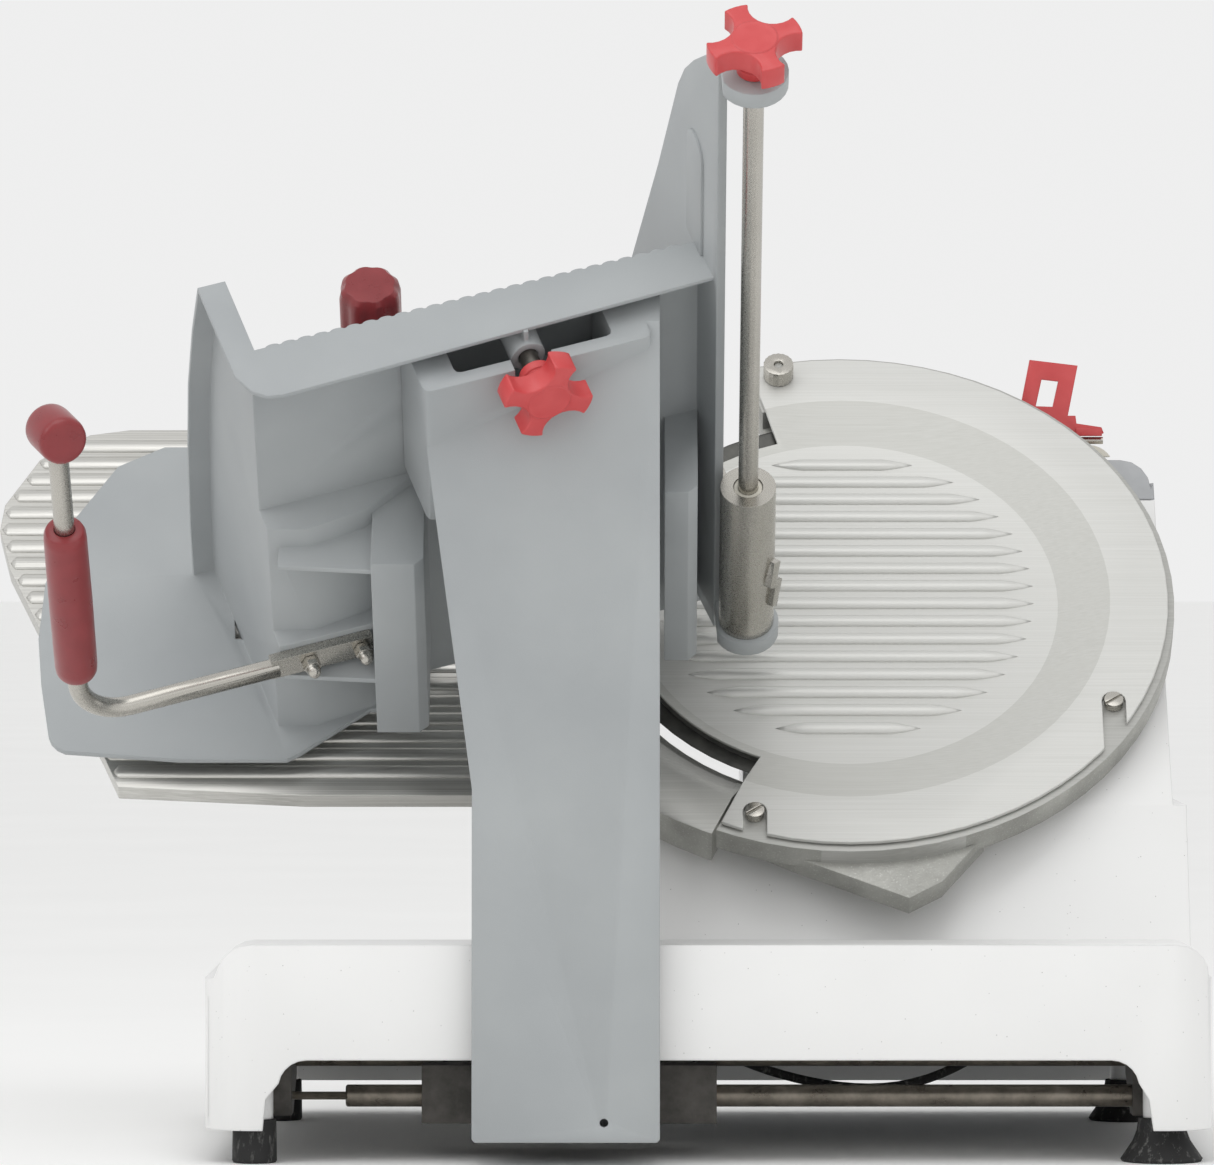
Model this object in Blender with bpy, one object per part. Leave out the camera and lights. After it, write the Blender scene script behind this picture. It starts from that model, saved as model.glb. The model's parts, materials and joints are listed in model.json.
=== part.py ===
"""Deli meat slicer: a gravity-feed slicing machine with a tilted round knife.

Metres, +Z up. +X is the way the carriage runs, -Y faces the carriage arm, +Y faces the operator.
Three frames hold the pieces:
  machine      level with the table
  knife_frame  origin at the knife's centre, +Z out of the knife's face, +Y up along its plane
  tray_frame   as the knife frame, turned so that +X runs up the tray's floor and +Y off the floor
"""

import math

import bmesh
import bpy
from mathutils import Vector

# ---- Driving dimensions -------------------------------------------------------------------
GAP = 0.0003                       # between pieces that touch
STAND_X, STAND_Y = 0.0419, 0.1522  # puts the origin under the middle of the machine

KNIFE_RADIUS = 0.165
KNIFE_CENTRE = (0.132, 0.0, 0.362)
KNIFE_LEAN = math.radians(48)      # from level to the knife's plane
EDGE_LEVEL = -0.009                # the cutting edge, behind the cover ring's face

BASE_LENGTH = 0.645
BASE_MIDDLE = 0.0375
BASE_FRONT, BASE_BACK = -0.292, 0.170
LEG_BOTTOM = 0.0215
DECK_TOP = 0.118
BEAM_TOP = 0.140
BEAM_DEPTH = 0.068
ARCH_TOP = 0.0665
SHELL = 0.005                      # wall of the enamelled housing
TOWER_LEFT, TOWER_UPPER_LEFT = -0.020, 0.062
TOWER_BREAK, TOWER_TOP = 0.222, 0.426
TOWER_FACE = -0.034                # along the knife's axis
TOWER_TOE = -0.125                 # where its front meets the deck
CAP_HEIGHT = 0.030

ROD_Y, ROD_Z, ROD_RADIUS = -0.225, 0.0393, 0.0072
RAIL_Y, RAIL_Z, RAIL_RADIUS = -0.176, 0.0600, 0.0050
RUNNING = 0.0001                   # radial play of a rod in its bush

ARM_FRONT, ARM_PLATE, ARM_LEAN = -0.315, 0.011, 0.04
ARM_LEFT, ARM_RIGHT, ARM_BOTTOM = -0.1132, 0.0063, 0.0158

TRAY_FALL = math.radians(19)
TRAY_CORNER = (-0.382, -0.105, 0.0)
TRAY_WIDTH, TRAY_LENGTH, TRAY_WALL = 0.2955, 0.350, 0.004
TRAY_NEAR = 0.006                  # the tray's knife end, off the knife's plane
LEFT_WALL_LOW, WALL_HIGH = 0.064, 0.128

PUSHER_ROD_RADIUS = 0.0065
PUSHER_X, PUSHER_Y = TRAY_WIDTH + 0.0155, -0.0616
SLEEVE_RADIUS, SLEEVE_LOW, SLEEVE_HIGH = 0.0183, 0.0445, 0.175
LUG_RADIUS, LUG_THICK = 0.0215, 0.012
LUG_LOW, LUG_HIGH = 0.032, 0.5425

HANDLE_RADIUS = 0.0065
KNOB_RADIUS = 0.030
SHAFT_RADIUS = 0.012
KNIFE_SPACE = 0.008                # between the knife's edge and the gauge plate
FOOT_HEIGHT = 0.0280

BASE_LEFT = BASE_MIDDLE - BASE_LENGTH / 2
BASE_RIGHT = BASE_MIDDLE + BASE_LENGTH / 2
TOWER_RIGHT = BASE_RIGHT - 0.003
ROD_LEFT, ROD_RIGHT = BASE_LEFT + 0.0886, BASE_RIGHT - 0.039
COVER_RADIUS = KNIFE_RADIUS + 0.053
FIXING_RADIUS = KNIFE_RADIUS + 0.0365
NUT_RADIUS = KNIFE_RADIUS + 0.0415

for old in list(bpy.data.objects):
    bpy.data.objects.remove(old)


# ---- Frames, finishes and pieces ----------------------------------------------------------
def frame(name, parent, place, turn=(0, 0, 0)):
    """An empty that other things are placed from."""
    made = bpy.data.objects.new(name, None)
    bpy.context.collection.objects.link(made)
    made.parent = parent
    made.location = place
    made.rotation_euler = turn
    return made


machine = frame("machine", None, (STAND_X, STAND_Y, 0))
knife_frame = frame("knife_frame", machine, KNIFE_CENTRE, (KNIFE_LEAN, 0, 0))
tray_frame = frame("tray_frame", knife_frame, TRAY_CORNER, (0, 0, TRAY_FALL))

FINISHES = {
    "white_enamel": ("E4E4E2", 0.35, 0.0),
    "grey_casting": ("A2A5A6", 0.50, 0.1),
    "cast_aluminium": ("A9AAA8", 0.45, 1.0),
    "satin_aluminium": ("DADAD6", 0.35, 1.0),
    "knife_steel": ("D0D0CE", 0.15, 1.0),
    "stainless_steel": ("B9B6AE", 0.25, 1.0),
    "dark_steel": ("6A6864", 0.35, 1.0),
    "signal_red": ("C4504F", 0.35, 0.0),
    "burgundy": ("7E2A2E", 0.35, 0.0),
    "black_rubber": ("2C2C2C", 0.80, 0.0),
    "black_plastic": ("232323", 0.45, 0.0),
    "bronze": ("A8763C", 0.35, 1.0),
    "grey_plastic": ("A9AAAB", 0.45, 0.0),
    "pale_plastic": ("D8D4C6", 0.45, 0.0),
    "green_plastic": ("3E7D4E", 0.40, 0.0),
    "zinc_plate": ("B4B7BA", 0.40, 1.0),
}


def linear(channel):
    """One sRGB channel, 0 to 1, made linear."""
    return channel / 12.92 if channel <= 0.04045 else ((channel + 0.055) / 1.055) ** 2.4


def finish(name):
    """The Principled material of that name, made once."""
    if name in bpy.data.materials:
        return bpy.data.materials[name]
    colour, roughness, metallic = FINISHES[name]
    made = bpy.data.materials.new(name)
    made.use_nodes = True
    shader = made.node_tree.nodes["Principled BSDF"]
    channels = [linear(int(colour[at : at + 2], 16) / 255) for at in (0, 2, 4)]
    shader.inputs["Base Color"].default_value = (*channels, 1)
    shader.inputs["Roughness"].default_value = roughness
    shader.inputs["Metallic"].default_value = metallic
    return made


def piece(name, bm, look, parent=machine, place=(0, 0, 0), turn=(0, 0, 0)):
    """A named object from a bmesh, in a frame."""
    bmesh.ops.remove_doubles(bm, verts=bm.verts, dist=1e-6)
    bmesh.ops.recalc_face_normals(bm, faces=bm.faces)
    mesh = bpy.data.meshes.new(name)
    bm.to_mesh(mesh)
    bm.free()
    made = bpy.data.objects.new(name, mesh)
    bpy.context.collection.objects.link(made)
    made.parent = parent
    made.location = place
    made.rotation_euler = turn
    mesh.materials.append(finish(look))
    mesh.shade_smooth()
    mesh.set_sharp_from_angle(angle=math.radians(35))
    return made


def tool(name, bm, parent=machine, place=(0, 0, 0), turn=(0, 0, 0)):
    """A helper shape that only cuts or adds, and never shows."""
    made = piece(name, bm, "black_plastic", parent, place, turn)
    made.hide_render = True
    made.display_type = "WIRE"
    return made


def boolean(body, helper, operation):
    step = body.modifiers.new(helper.name, "BOOLEAN")
    step.operation = operation
    step.object = helper
    step.solver = "EXACT"


def cut(body, helper):
    boolean(body, helper, "DIFFERENCE")


def fuse(body, helper):
    boolean(body, helper, "UNION")


def keep(body, helper):
    boolean(body, helper, "INTERSECT")


# ---- Shapes -------------------------------------------------------------------------------
def box(low, high):
    """A block between two corners."""
    bm = bmesh.new()
    bmesh.ops.create_cube(bm, size=1)
    low, high = Vector(low), Vector(high)
    bmesh.ops.scale(bm, verts=bm.verts, vec=high - low)
    bmesh.ops.translate(bm, verts=bm.verts, vec=(low + high) / 2)
    return bm


def prism(outline, low, high, plane="xy"):
    """An outline drawn in a plane and raised across it from low to high."""
    first, second, across = {"xy": (0, 1, 2), "xz": (0, 2, 1), "yz": (1, 2, 0)}[plane]
    bm = bmesh.new()
    corners = []
    for a, b in outline:
        point = [0.0, 0.0, 0.0]
        point[first], point[second], point[across] = a, b, low
        corners.append(bm.verts.new(point))
    grown = bmesh.ops.extrude_face_region(bm, geom=[bm.faces.new(corners)], use_keep_orig=True)
    raised = [item for item in grown["geom"] if isinstance(item, bmesh.types.BMVert)]
    step = [0.0, 0.0, 0.0]
    step[across] = high - low
    bmesh.ops.translate(bm, verts=raised, vec=step)
    return bm


def turned(profile, steps=32):
    """A solid turned about +Z from a closed outline of (radius, height)."""
    bm = bmesh.new()
    corners = [bm.verts.new((radius, 0, height)) for radius, height in profile]
    edges = [bm.edges.new(pair) for pair in zip(corners, corners[1:])]
    if profile[0][0] > 0 or profile[-1][0] > 0:
        edges.append(bm.edges.new((corners[-1], corners[0])))
    bmesh.ops.spin(
        bm, geom=corners + edges, axis=(0, 0, 1), cent=(0, 0, 0), steps=steps,
        angle=math.tau, use_merge=True,
    )
    return bm


def rod(radius, low, high, steps=24):
    return turned([(0, low), (radius, low), (radius, high), (0, high)], steps)


def ring(inner, outer, low, high, steps=32):
    return turned([(inner, low), (outer, low), (outer, high), (inner, high)], steps)


def arc(centre, radius, start, end, steps):
    """Points round a centre, from one angle to another in degrees."""
    angles = [math.radians(start + (end - start) * at / steps) for at in range(steps + 1)]
    return [(centre[0] + radius * math.cos(a), centre[1] + radius * math.sin(a)) for a in angles]


def sector(inner, outer, start, end, steps=24):
    """The outline of part of a ring."""
    return arc((0, 0), outer, start, end, steps) + arc((0, 0), inner, end, start, steps)


def round_box(left, right, low, high, radius, steps=4):
    """A rectangle's outline with round corners."""
    corners = [
        ((right - radius, high - radius), 0), ((left + radius, high - radius), 90),
        ((left + radius, low + radius), 180), ((right - radius, low + radius), 270),
    ]
    return [p for centre, start in corners for p in arc(centre, radius, start, start + 90, steps)]


def polar(radius, angle):
    """A place on the knife's plane at a radius and an angle in degrees."""
    turn = math.radians(angle)
    return radius * math.cos(turn), radius * math.sin(turn)


def on_face(tilt_y, level):
    """Height and depth, from the knife's frame to the machine's, of a point up its plane."""
    depth = KNIFE_CENTRE[1] + tilt_y * math.cos(KNIFE_LEAN) - level * math.sin(KNIFE_LEAN)
    height = KNIFE_CENTRE[2] + tilt_y * math.sin(KNIFE_LEAN) + level * math.cos(KNIFE_LEAN)
    return depth, height


# ---- Housing, feet and slide rod ----------------------------------------------------------
def tower_side(inset):
    """Side outline (depth, height) of the tower, moved in by its wall."""
    face = TOWER_FACE - inset
    slope = math.sin(KNIFE_LEAN)

    def on_plane(height):
        tilt_y = (height - KNIFE_CENTRE[2] - face * math.cos(KNIFE_LEAN)) / slope
        return on_face(tilt_y, face)

    return [
        (TOWER_TOE + inset, DECK_TOP - 0.03),
        (TOWER_TOE + inset, DECK_TOP),
        on_plane(TOWER_BREAK - inset * 0.3),
        on_plane(TOWER_TOP - inset),
        (BASE_BACK - inset, TOWER_TOP - inset),
        (BASE_BACK - inset, DECK_TOP - 0.03),
    ]


def housing_solid(name, inset, make):
    """Plinth, front beam and tower as one solid; the hollow inside is the same, smaller."""
    bottom = LEG_BOTTOM if inset == 0 else LEG_BOTTOM - 0.01
    left, right = BASE_LEFT + inset, BASE_RIGHT - inset
    front, back = BASE_FRONT + inset, BASE_BACK - inset
    plan = round_box(left, right, front, back, 0.030 - inset, 5)
    body = make(name, prism(plan, bottom, DECK_TOP - inset))
    beam = [
        (left, DECK_TOP - 0.04), (left + 0.004, DECK_TOP - 0.006 - inset),
        *arc((left + 0.030, BEAM_TOP - 0.022 - inset), 0.022, 160, 90, 4),
        *arc((right - 0.024, BEAM_TOP - 0.022 - inset), 0.022, 90, 20, 4),
        (right - 0.002, DECK_TOP - 0.006 - inset), (right, DECK_TOP - 0.04),
    ]
    fuse(body, tool(name + "_beam", prism(beam, front, BASE_FRONT + BEAM_DEPTH - inset, "xz")))
    keep_round = tool(name + "_round", prism(plan, bottom, BEAM_TOP + 0.01))
    keep(body, keep_round)
    side = tower_side(inset)
    lower = [*side[:3], (BASE_BACK - inset, side[2][1]), side[5]]
    fuse(body, tool(name + "_skirt", prism(lower, TOWER_LEFT + inset, TOWER_RIGHT - inset, "yz")))
    upper_left, upper_right = TOWER_UPPER_LEFT + inset, TOWER_RIGHT - 0.009 - inset
    fuse(body, tool(name + "_tower", prism(side, upper_left, upper_right, "yz")))
    return body


base_housing = housing_solid("base_housing", 0, lambda name, bm: piece(name, bm, "white_enamel"))
cut(base_housing, housing_solid("housing_hollow", SHELL, tool))
arch = [
    (BASE_LEFT + 0.036, 0), (BASE_LEFT + 0.040, LEG_BOTTOM + 0.02),
    *arc((BASE_LEFT + 0.066, ARCH_TOP - 0.018), 0.018, 170, 90, 5),
    *arc((BASE_RIGHT - 0.066, ARCH_TOP - 0.018), 0.018, 90, 10, 5),
    (BASE_RIGHT - 0.042, LEG_BOTTOM + 0.02), (BASE_RIGHT - 0.036, 0),
]
cut(base_housing, tool("front_arch", prism(arch, BASE_FRONT - 0.01, BASE_FRONT + SHELL + 0.002, "xz")))

WEB_THICK = 0.006
FOOT_PLACES = {
    "foot_front_left": (BASE_LEFT + 0.0320, BASE_FRONT + 0.0205),
    "foot_rear_left": (BASE_LEFT + 0.0315, BASE_BACK - 0.083),
    "foot_front_right": (BASE_RIGHT - 0.0320, BASE_FRONT + 0.031),
    "foot_rear_right": (BASE_RIGHT - 0.0320, BASE_BACK - 0.083),
}
for foot_name, (foot_x, foot_y) in FOOT_PLACES.items():
    boss_top = (DECK_TOP if "rear" in foot_name else BEAM_TOP) - SHELL / 2
    boss = rod(0.012, FOOT_HEIGHT, boss_top, 16)
    fuse(base_housing, tool(foot_name + "_boss", boss, machine, (foot_x, foot_y, 0)))
    side_wall = BASE_LEFT + SHELL / 2 if foot_x < BASE_MIDDLE else BASE_RIGHT - SHELL / 2
    web_low = (min(foot_x, side_wall), foot_y - WEB_THICK / 2, FOOT_HEIGHT + 0.002)
    web_high = (max(foot_x, side_wall), foot_y + WEB_THICK / 2, DECK_TOP - 0.012)
    fuse(base_housing, tool(foot_name + "_web", box(web_low, web_high)))
    foot_top = FOOT_HEIGHT - GAP
    if foot_name.endswith("left"):
        profile = [(0, 0), (0.0135, 0), (0.0144, 0.0015), (0.0140, foot_top), (0, foot_top)]
    else:
        profile = [
            (0, 0.001), (0.018, 0), (0.0255, 0.0), (0.0265, 0.0018), (0.0225, 0.0075),
            (0.0185, 0.0135), (0.0160, 0.0200), (0.0150, foot_top), (0, foot_top),
        ]
    piece(foot_name, turned(profile, 24), "black_rubber", machine, (foot_x, foot_y, 0))

tower_front, _ = tower_side(0)[3]
cap_lean = CAP_HEIGHT / math.tan(KNIFE_LEAN)
cap_side = [
    (tower_front, TOWER_TOP + GAP), (BASE_BACK, TOWER_TOP + GAP),
    (BASE_BACK, TOWER_TOP + CAP_HEIGHT - 0.008), (BASE_BACK - 0.006, TOWER_TOP + CAP_HEIGHT),
    (tower_front + cap_lean + 0.001, TOWER_TOP + CAP_HEIGHT),
]
cap_left, cap_right = TOWER_UPPER_LEFT, TOWER_RIGHT - 0.009
tower_cap = piece("tower_cap", prism(cap_side, cap_left, cap_right, "yz"), "grey_plastic")
cap_ends = [
    (cap_left, TOWER_TOP), (cap_right, TOWER_TOP), (cap_right, TOWER_TOP + 0.012),
    *arc((cap_right - 0.022, TOWER_TOP + CAP_HEIGHT - 0.022), 0.020, 0, 90, 4),
    *arc((cap_left + 0.022, TOWER_TOP + CAP_HEIGHT - 0.022), 0.020, 90, 180, 4),
    (cap_left, TOWER_TOP + 0.012),
]
keep(tower_cap, tool("cap_ends", prism(cap_ends, 0, BASE_BACK + 0.01, "xz")))

cover_low, cover_high = 0.060, 0.0615
cover_plan = round_box(TOWER_LEFT + 0.01, BASE_RIGHT - 0.060, -0.120, BASE_BACK - SHELL - 0.002, 0.01, 3)
piece("service_cover", prism(cover_plan, cover_low, cover_high), "zinc_plate")

BRACKET_THICK = 0.012
bracket_outline = [
    (ROD_Y - 0.014, ROD_Z - 0.012), (ROD_Y + 0.014, ROD_Z - 0.012), (RAIL_Y + 0.012, RAIL_Z - 0.010),
    (RAIL_Y + 0.012, DECK_TOP - SHELL - GAP), (ROD_Y - 0.014, DECK_TOP - SHELL - GAP),
]
slide_ends = {"left": BASE_LEFT + 0.042, "right": ROD_RIGHT - BRACKET_THICK + 0.002}
for side, bracket_x in slide_ends.items():
    bracket = piece(
        "rod_bracket_" + side,
        prism(bracket_outline, bracket_x, bracket_x + BRACKET_THICK, "yz"),
        "cast_aluminium",
    )
    bore = ROD_RADIUS + GAP if side == "right" else ROD_RADIUS * 0.36 + GAP
    for mark, radius, across, height in (
        ("rod", bore, ROD_Y, ROD_Z), ("rail", RAIL_RADIUS + GAP, RAIL_Y, RAIL_Z),
    ):
        drill = rod(radius, -0.05, 0.05, 24)
        place = (bracket_x, across, height)
        cut(bracket, tool(f"{side}_{mark}_bore", drill, machine, place, (0, math.pi / 2, 0)))

thin_end = slide_ends["left"] - ROD_LEFT + 0.002
slide_profile = [
    (0, thin_end), (ROD_RADIUS * 0.36, thin_end), (ROD_RADIUS * 0.36, 0), (ROD_RADIUS - 0.001, 0),
    (ROD_RADIUS, 0.001), (ROD_RADIUS, ROD_RIGHT - ROD_LEFT), (0, ROD_RIGHT - ROD_LEFT),
]
slide_turn = (0, math.pi / 2, 0)
slide_rod = turned(slide_profile, 24)
piece("slide_rod", slide_rod, "stainless_steel", machine, (ROD_LEFT, ROD_Y, ROD_Z), slide_turn)
rail_left = slide_ends["left"] + 0.001
rail_right = slide_ends["right"] + BRACKET_THICK - 0.001
rail = rod(RAIL_RADIUS, 0, rail_right - rail_left)
piece("guide_rail", rail, "stainless_steel", machine, (rail_left, RAIL_Y, RAIL_Z), slide_turn)

# ---- Carriage slide -----------------------------------------------------------------------
BLOCK_LEFT, BLOCK_RIGHT = -0.147, 0.043
BUSH_LENGTH, BUSH_WALL = 0.030, 0.0035
block_side = [
    (ROD_Y - 0.016, ROD_Z - 0.017), (ROD_Y + 0.016, ROD_Z - 0.017), (RAIL_Y + 0.016, 0.024),
    (RAIL_Y + 0.016, 0.034), (ROD_Y + 0.022, 0.036), (ROD_Y + 0.018, 0.060), (ROD_Y - 0.016, 0.060),
]
slide_block = prism(block_side, BLOCK_LEFT, BLOCK_RIGHT, "yz")
slide_block = piece("carriage_slide_block", slide_block, "cast_aluminium")
block_bore = rod(ROD_RADIUS + BUSH_WALL + GAP, -0.01, BLOCK_RIGHT - BLOCK_LEFT + 0.01)
cut(slide_block, tool("block_bore", block_bore, machine, (BLOCK_LEFT, ROD_Y, ROD_Z), slide_turn))
for side, bush_x in (("left", BLOCK_LEFT), ("right", BLOCK_RIGHT - BUSH_LENGTH)):
    bush = ring(ROD_RADIUS + RUNNING, ROD_RADIUS + BUSH_WALL, 0, BUSH_LENGTH, 24)
    piece("slide_bush_" + side, bush, "bronze", machine, (bush_x, ROD_Y, ROD_Z), slide_turn)

ROLLER_RADIUS = 0.0085
roller_z = RAIL_Z - RAIL_RADIUS - GAP - ROLLER_RADIUS
block_middle = (BLOCK_LEFT + BLOCK_RIGHT) / 2
for mark, low, high in (("front", -0.0080, -0.0053), ("rear", 0.0053, 0.0080)):
    ear_low = (block_middle - 0.009, RAIL_Y + low, 0.030)
    ear_high = (block_middle + 0.009, RAIL_Y + high, roller_z + 0.004)
    fuse(slide_block, tool("roller_ear_" + mark, box(ear_low, ear_high)))
axle_turn = (-math.pi / 2, 0, 0)
roller_place = (block_middle, RAIL_Y, roller_z)
axle = rod(0.0025, -0.0075, 0.0075, 12)
fuse(slide_block, tool("roller_axle", axle, machine, roller_place, axle_turn))
roller_slot = (block_middle - 0.012, RAIL_Y - 0.0053, 0.0280)
roller_room = (block_middle + 0.012, RAIL_Y + 0.0053, 0.0400)
roller_well = tool("roller_well", box(roller_slot, roller_room))
cut(slide_block, roller_well)
slide_block.modifiers.move(len(slide_block.modifiers) - 1, 1)  # before the ears are added
roller = ring(0.0025 + RUNNING, ROLLER_RADIUS, -0.0050, 0.0050, 24)
piece("guide_roller", roller, "black_plastic", machine, roller_place, axle_turn)

# ---- Carriage arm -------------------------------------------------------------------------
ARM_HIGH = 0.560                   # trimmed to the tray's floor further down
arm_back = ARM_FRONT + ARM_PLATE
arm_face = [
    (ARM_LEFT, ARM_BOTTOM + 0.002), (ARM_LEFT + 0.002, ARM_BOTTOM), (ARM_RIGHT - 0.002, ARM_BOTTOM),
    (ARM_RIGHT, ARM_BOTTOM + 0.002), (ARM_RIGHT, ARM_HIGH), (-0.144, ARM_HIGH), (-0.142, 0.454),
    (ARM_LEFT, 0.240),
]
arm_foot_back = ROD_Y - 0.016 - GAP
arm_side = [
    (ARM_FRONT, ARM_BOTTOM), (arm_foot_back, ARM_BOTTOM), (arm_foot_back, 0.0545), (arm_back, 0.0545),
    (arm_back, 0.156), (-0.286, 0.156), (-0.240, 0.300), (-0.205, 0.420), (-0.205, ARM_HIGH),
    (ARM_FRONT + ARM_LEAN * (ARM_HIGH - ARM_BOTTOM), ARM_HIGH),
]
carriage_arm = piece("carriage_arm", prism(arm_face, ARM_FRONT - 0.01, -0.150, "xz"), "grey_casting")
keep(carriage_arm, tool("arm_side", prism(arm_side, -0.2, 0.1, "yz")))
column_hollow = [(-0.302, 0.168), (-0.2, 0.130), (-0.14, 0.300), (-0.14, 0.395), (-0.290, 0.395)]
hollow = tool("arm_hollow", prism(column_hollow, ARM_LEFT + 0.006, ARM_RIGHT - 0.006, "yz"))
cut(carriage_arm, hollow)

HEAD_LEFT, HEAD_RIGHT, HEAD_DEEP, HEAD_TOP = 0.094, 0.2465, -0.058, 0.336
head = round_box(HEAD_LEFT, HEAD_RIGHT, HEAD_DEEP, 0.02, 0.005, 2)
fuse(carriage_arm, tool("arm_head", prism(head, 0.215, HEAD_TOP), tray_frame))
floor_space = 0.0023
above_floor = box((-0.2, -TRAY_WALL - floor_space, -0.2), (0.6, 0.4, 0.6))
cut(carriage_arm, tool("above_floor", above_floor, tray_frame))
cut(carriage_arm, tool("above_head", box((-0.3, -0.4, HEAD_TOP), (0.6, 0.4, 0.6)), tray_frame))
STUD_X, STUD_LEVEL, STUD_RADIUS = 0.1678, 0.329, 0.00625
pocket = round_box(STUD_X - 0.050, STUD_X + 0.055, HEAD_DEEP + 0.010, 0.02, 0.004, 2)
cut(carriage_arm, tool("head_pocket", prism(pocket, HEAD_TOP - 0.050, HEAD_TOP + 0.01), tray_frame))
notch = round_box(STUD_X - 0.0135, STUD_X + 0.0135, HEAD_DEEP - 0.08, HEAD_DEEP + 0.02, 0.002, 2)
cut(carriage_arm, tool("head_notch", prism(notch, STUD_LEVEL - 0.0135, HEAD_TOP + 0.01), tray_frame))
drain = rod(0.0028, -0.02, 0.004, 12)
drain_place = (ARM_LEFT + 0.084, ARM_FRONT, ARM_BOTTOM + 0.0125)
cut(carriage_arm, tool("arm_hole", drain, machine, drain_place, (math.pi / 2, 0, 0)))

# ---- Product tray -------------------------------------------------------------------------
WALL_X = TRAY_WIDTH
tray = piece(
    "carriage_tray",
    box((-TRAY_WALL, -TRAY_WALL, TRAY_NEAR), (TRAY_WIDTH + TRAY_WALL, 0, TRAY_LENGTH)),
    "grey_casting", tray_frame,
)
left_top = [
    (TRAY_NEAR, WALL_HIGH), (0.060, WALL_HIGH - 0.001), (0.140, WALL_HIGH - 0.008),
    (0.220, WALL_HIGH - 0.022), (0.290, WALL_HIGH - 0.042), (TRAY_LENGTH, LEFT_WALL_LOW),
]
left_wall = [(high, level) for level, high in left_top]
left_wall = [(-TRAY_WALL, TRAY_NEAR), *left_wall, (-TRAY_WALL, TRAY_LENGTH)]
fuse(tray, tool("tray_left_wall", prism(left_wall, -TRAY_WALL, 0, "yz"), tray_frame))
lip = [(high, level) for level, high in left_top] + [(high - 0.003, level) for level, high in left_top[::-1]]
fuse(tray, tool("tray_lip", prism(lip, -0.0185, -0.001, "yz"), tray_frame))
flange = [
    (-0.0185, LEFT_WALL_LOW), (-0.001, LEFT_WALL_LOW), (-0.001, -0.001), (WALL_X + 0.002, -0.001),
    (WALL_X + 0.002, -0.034), (0.006, -0.043), (-0.004, -0.041), (-0.012, -0.034),
    (-0.0185, -0.018),
]
fuse(tray, tool("tray_end_flange", prism(flange, TRAY_LENGTH - 0.003, TRAY_LENGTH), tray_frame))
wall_low, wall_x = -0.040, WALL_X + 0.004
lug_top = LUG_HIGH + LUG_THICK
right_wall = [
    (wall_low, TRAY_NEAR + 0.014), (WALL_HIGH, TRAY_NEAR), (WALL_HIGH, 0.211), (0.075, 0.348),
    (0.036, 0.458), (0.024, 0.482), (0.007, 0.505), (-0.010, 0.524), (-0.024, 0.540),
    (-0.032, lug_top - 0.004), (-0.037, lug_top), (wall_low, lug_top),
]
fuse(tray, tool("tray_right_wall", prism(right_wall, WALL_X, wall_x, "yz"), tray_frame))
spine = box((WALL_X, wall_low, LUG_LOW), (WALL_X + 0.006, wall_low + 0.013, lug_top))
fuse(tray, tool("tray_spine", spine, tray_frame))
lug = [
    (WALL_X + 0.001, wall_low + 0.024), (WALL_X + 0.001, wall_low),
    *arc((PUSHER_X, PUSHER_Y), LUG_RADIUS, 188, 415, 16),
]
for mark, low in (("lower", LUG_LOW), ("upper", LUG_HIGH)):
    fuse(tray, tool(f"tray_{mark}_lug", prism(lug, low, low + LUG_THICK), tray_frame))
rod_bore = rod(PUSHER_ROD_RADIUS + GAP, LUG_LOW + 0.003, LUG_HIGH + 0.05, 24)
cut(tray, tool("pusher_rod_bore", rod_bore, tray_frame, (PUSHER_X, PUSHER_Y, 0)))

# blocks that stand on each side of the arm's head, square to the knife
block_low, block_high = 0.031, 0.197


def under_floor(across):
    """How high, at a place across the knife's frame, a casting under the tray's floor may reach."""
    along = across - TRAY_CORNER[0]
    return TRAY_CORNER[1] + math.tan(TRAY_FALL) * along - 0.0022


left_block = (-0.3118, -0.2778, -0.150)
right_block = (-0.1225, -0.1010, -0.087)
for mark, (low_x, high_x, low_y) in (("left", left_block), ("right", right_block)):
    section = [(low_x, low_y), (high_x - 0.006, low_y), (high_x, low_y + 0.006)]
    section += [(high_x, under_floor(high_x)), (low_x, under_floor(low_x))]
    fuse(tray, tool(f"tray_{mark}_block", prism(section, block_low, block_high), knife_frame))
SHELF_LEFT = -0.372
shelf = [
    (left_block[0] + 0.002, -0.147), (left_block[0] + 0.002, under_floor(left_block[0])),
    (SHELF_LEFT, under_floor(SHELF_LEFT)), (SHELF_LEFT, -0.143),
]
for mark, level in (("upper", 0.184), ("lower", 0.077)):
    fuse(tray, tool(f"tray_{mark}_shelf", prism(shelf, level, level + 0.004), knife_frame))
underside = [
    (-0.004, -0.002), (0.110, -0.002), (0.060, -0.026), (0.020, -0.030), (-0.004, -0.022),
]
fuse(tray, tool("tray_underside", prism(underside, TRAY_NEAR, 0.205), tray_frame))
NUT_LEVEL, ROD_DEEP = 0.094, -0.041
TANG_HALF = 0.0034                 # half the thickness of the handle's flattened end
pad_low = (-0.004, ROD_DEEP + TANG_HALF + GAP, NUT_LEVEL - 0.013)
pad = box(pad_low, (0.068, -0.010, NUT_LEVEL + 0.013))
fuse(tray, tool("tray_handle_pad", pad, tray_frame))
stud_boss = rod(0.0115, 0.002, 0.043, 20)
stud_place = (STUD_X, 0, STUD_LEVEL)
to_underside = (math.pi / 2, 0, 0)
fuse(tray, tool("tray_stud_boss", stud_boss, tray_frame, stud_place, to_underside))
boss_web = box((STUD_X - 0.0015, -0.040, STUD_LEVEL), (STUD_X + 0.0015, -0.001, TRAY_LENGTH - 0.001))
fuse(tray, tool("tray_boss_web", boss_web, tray_frame))
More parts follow.
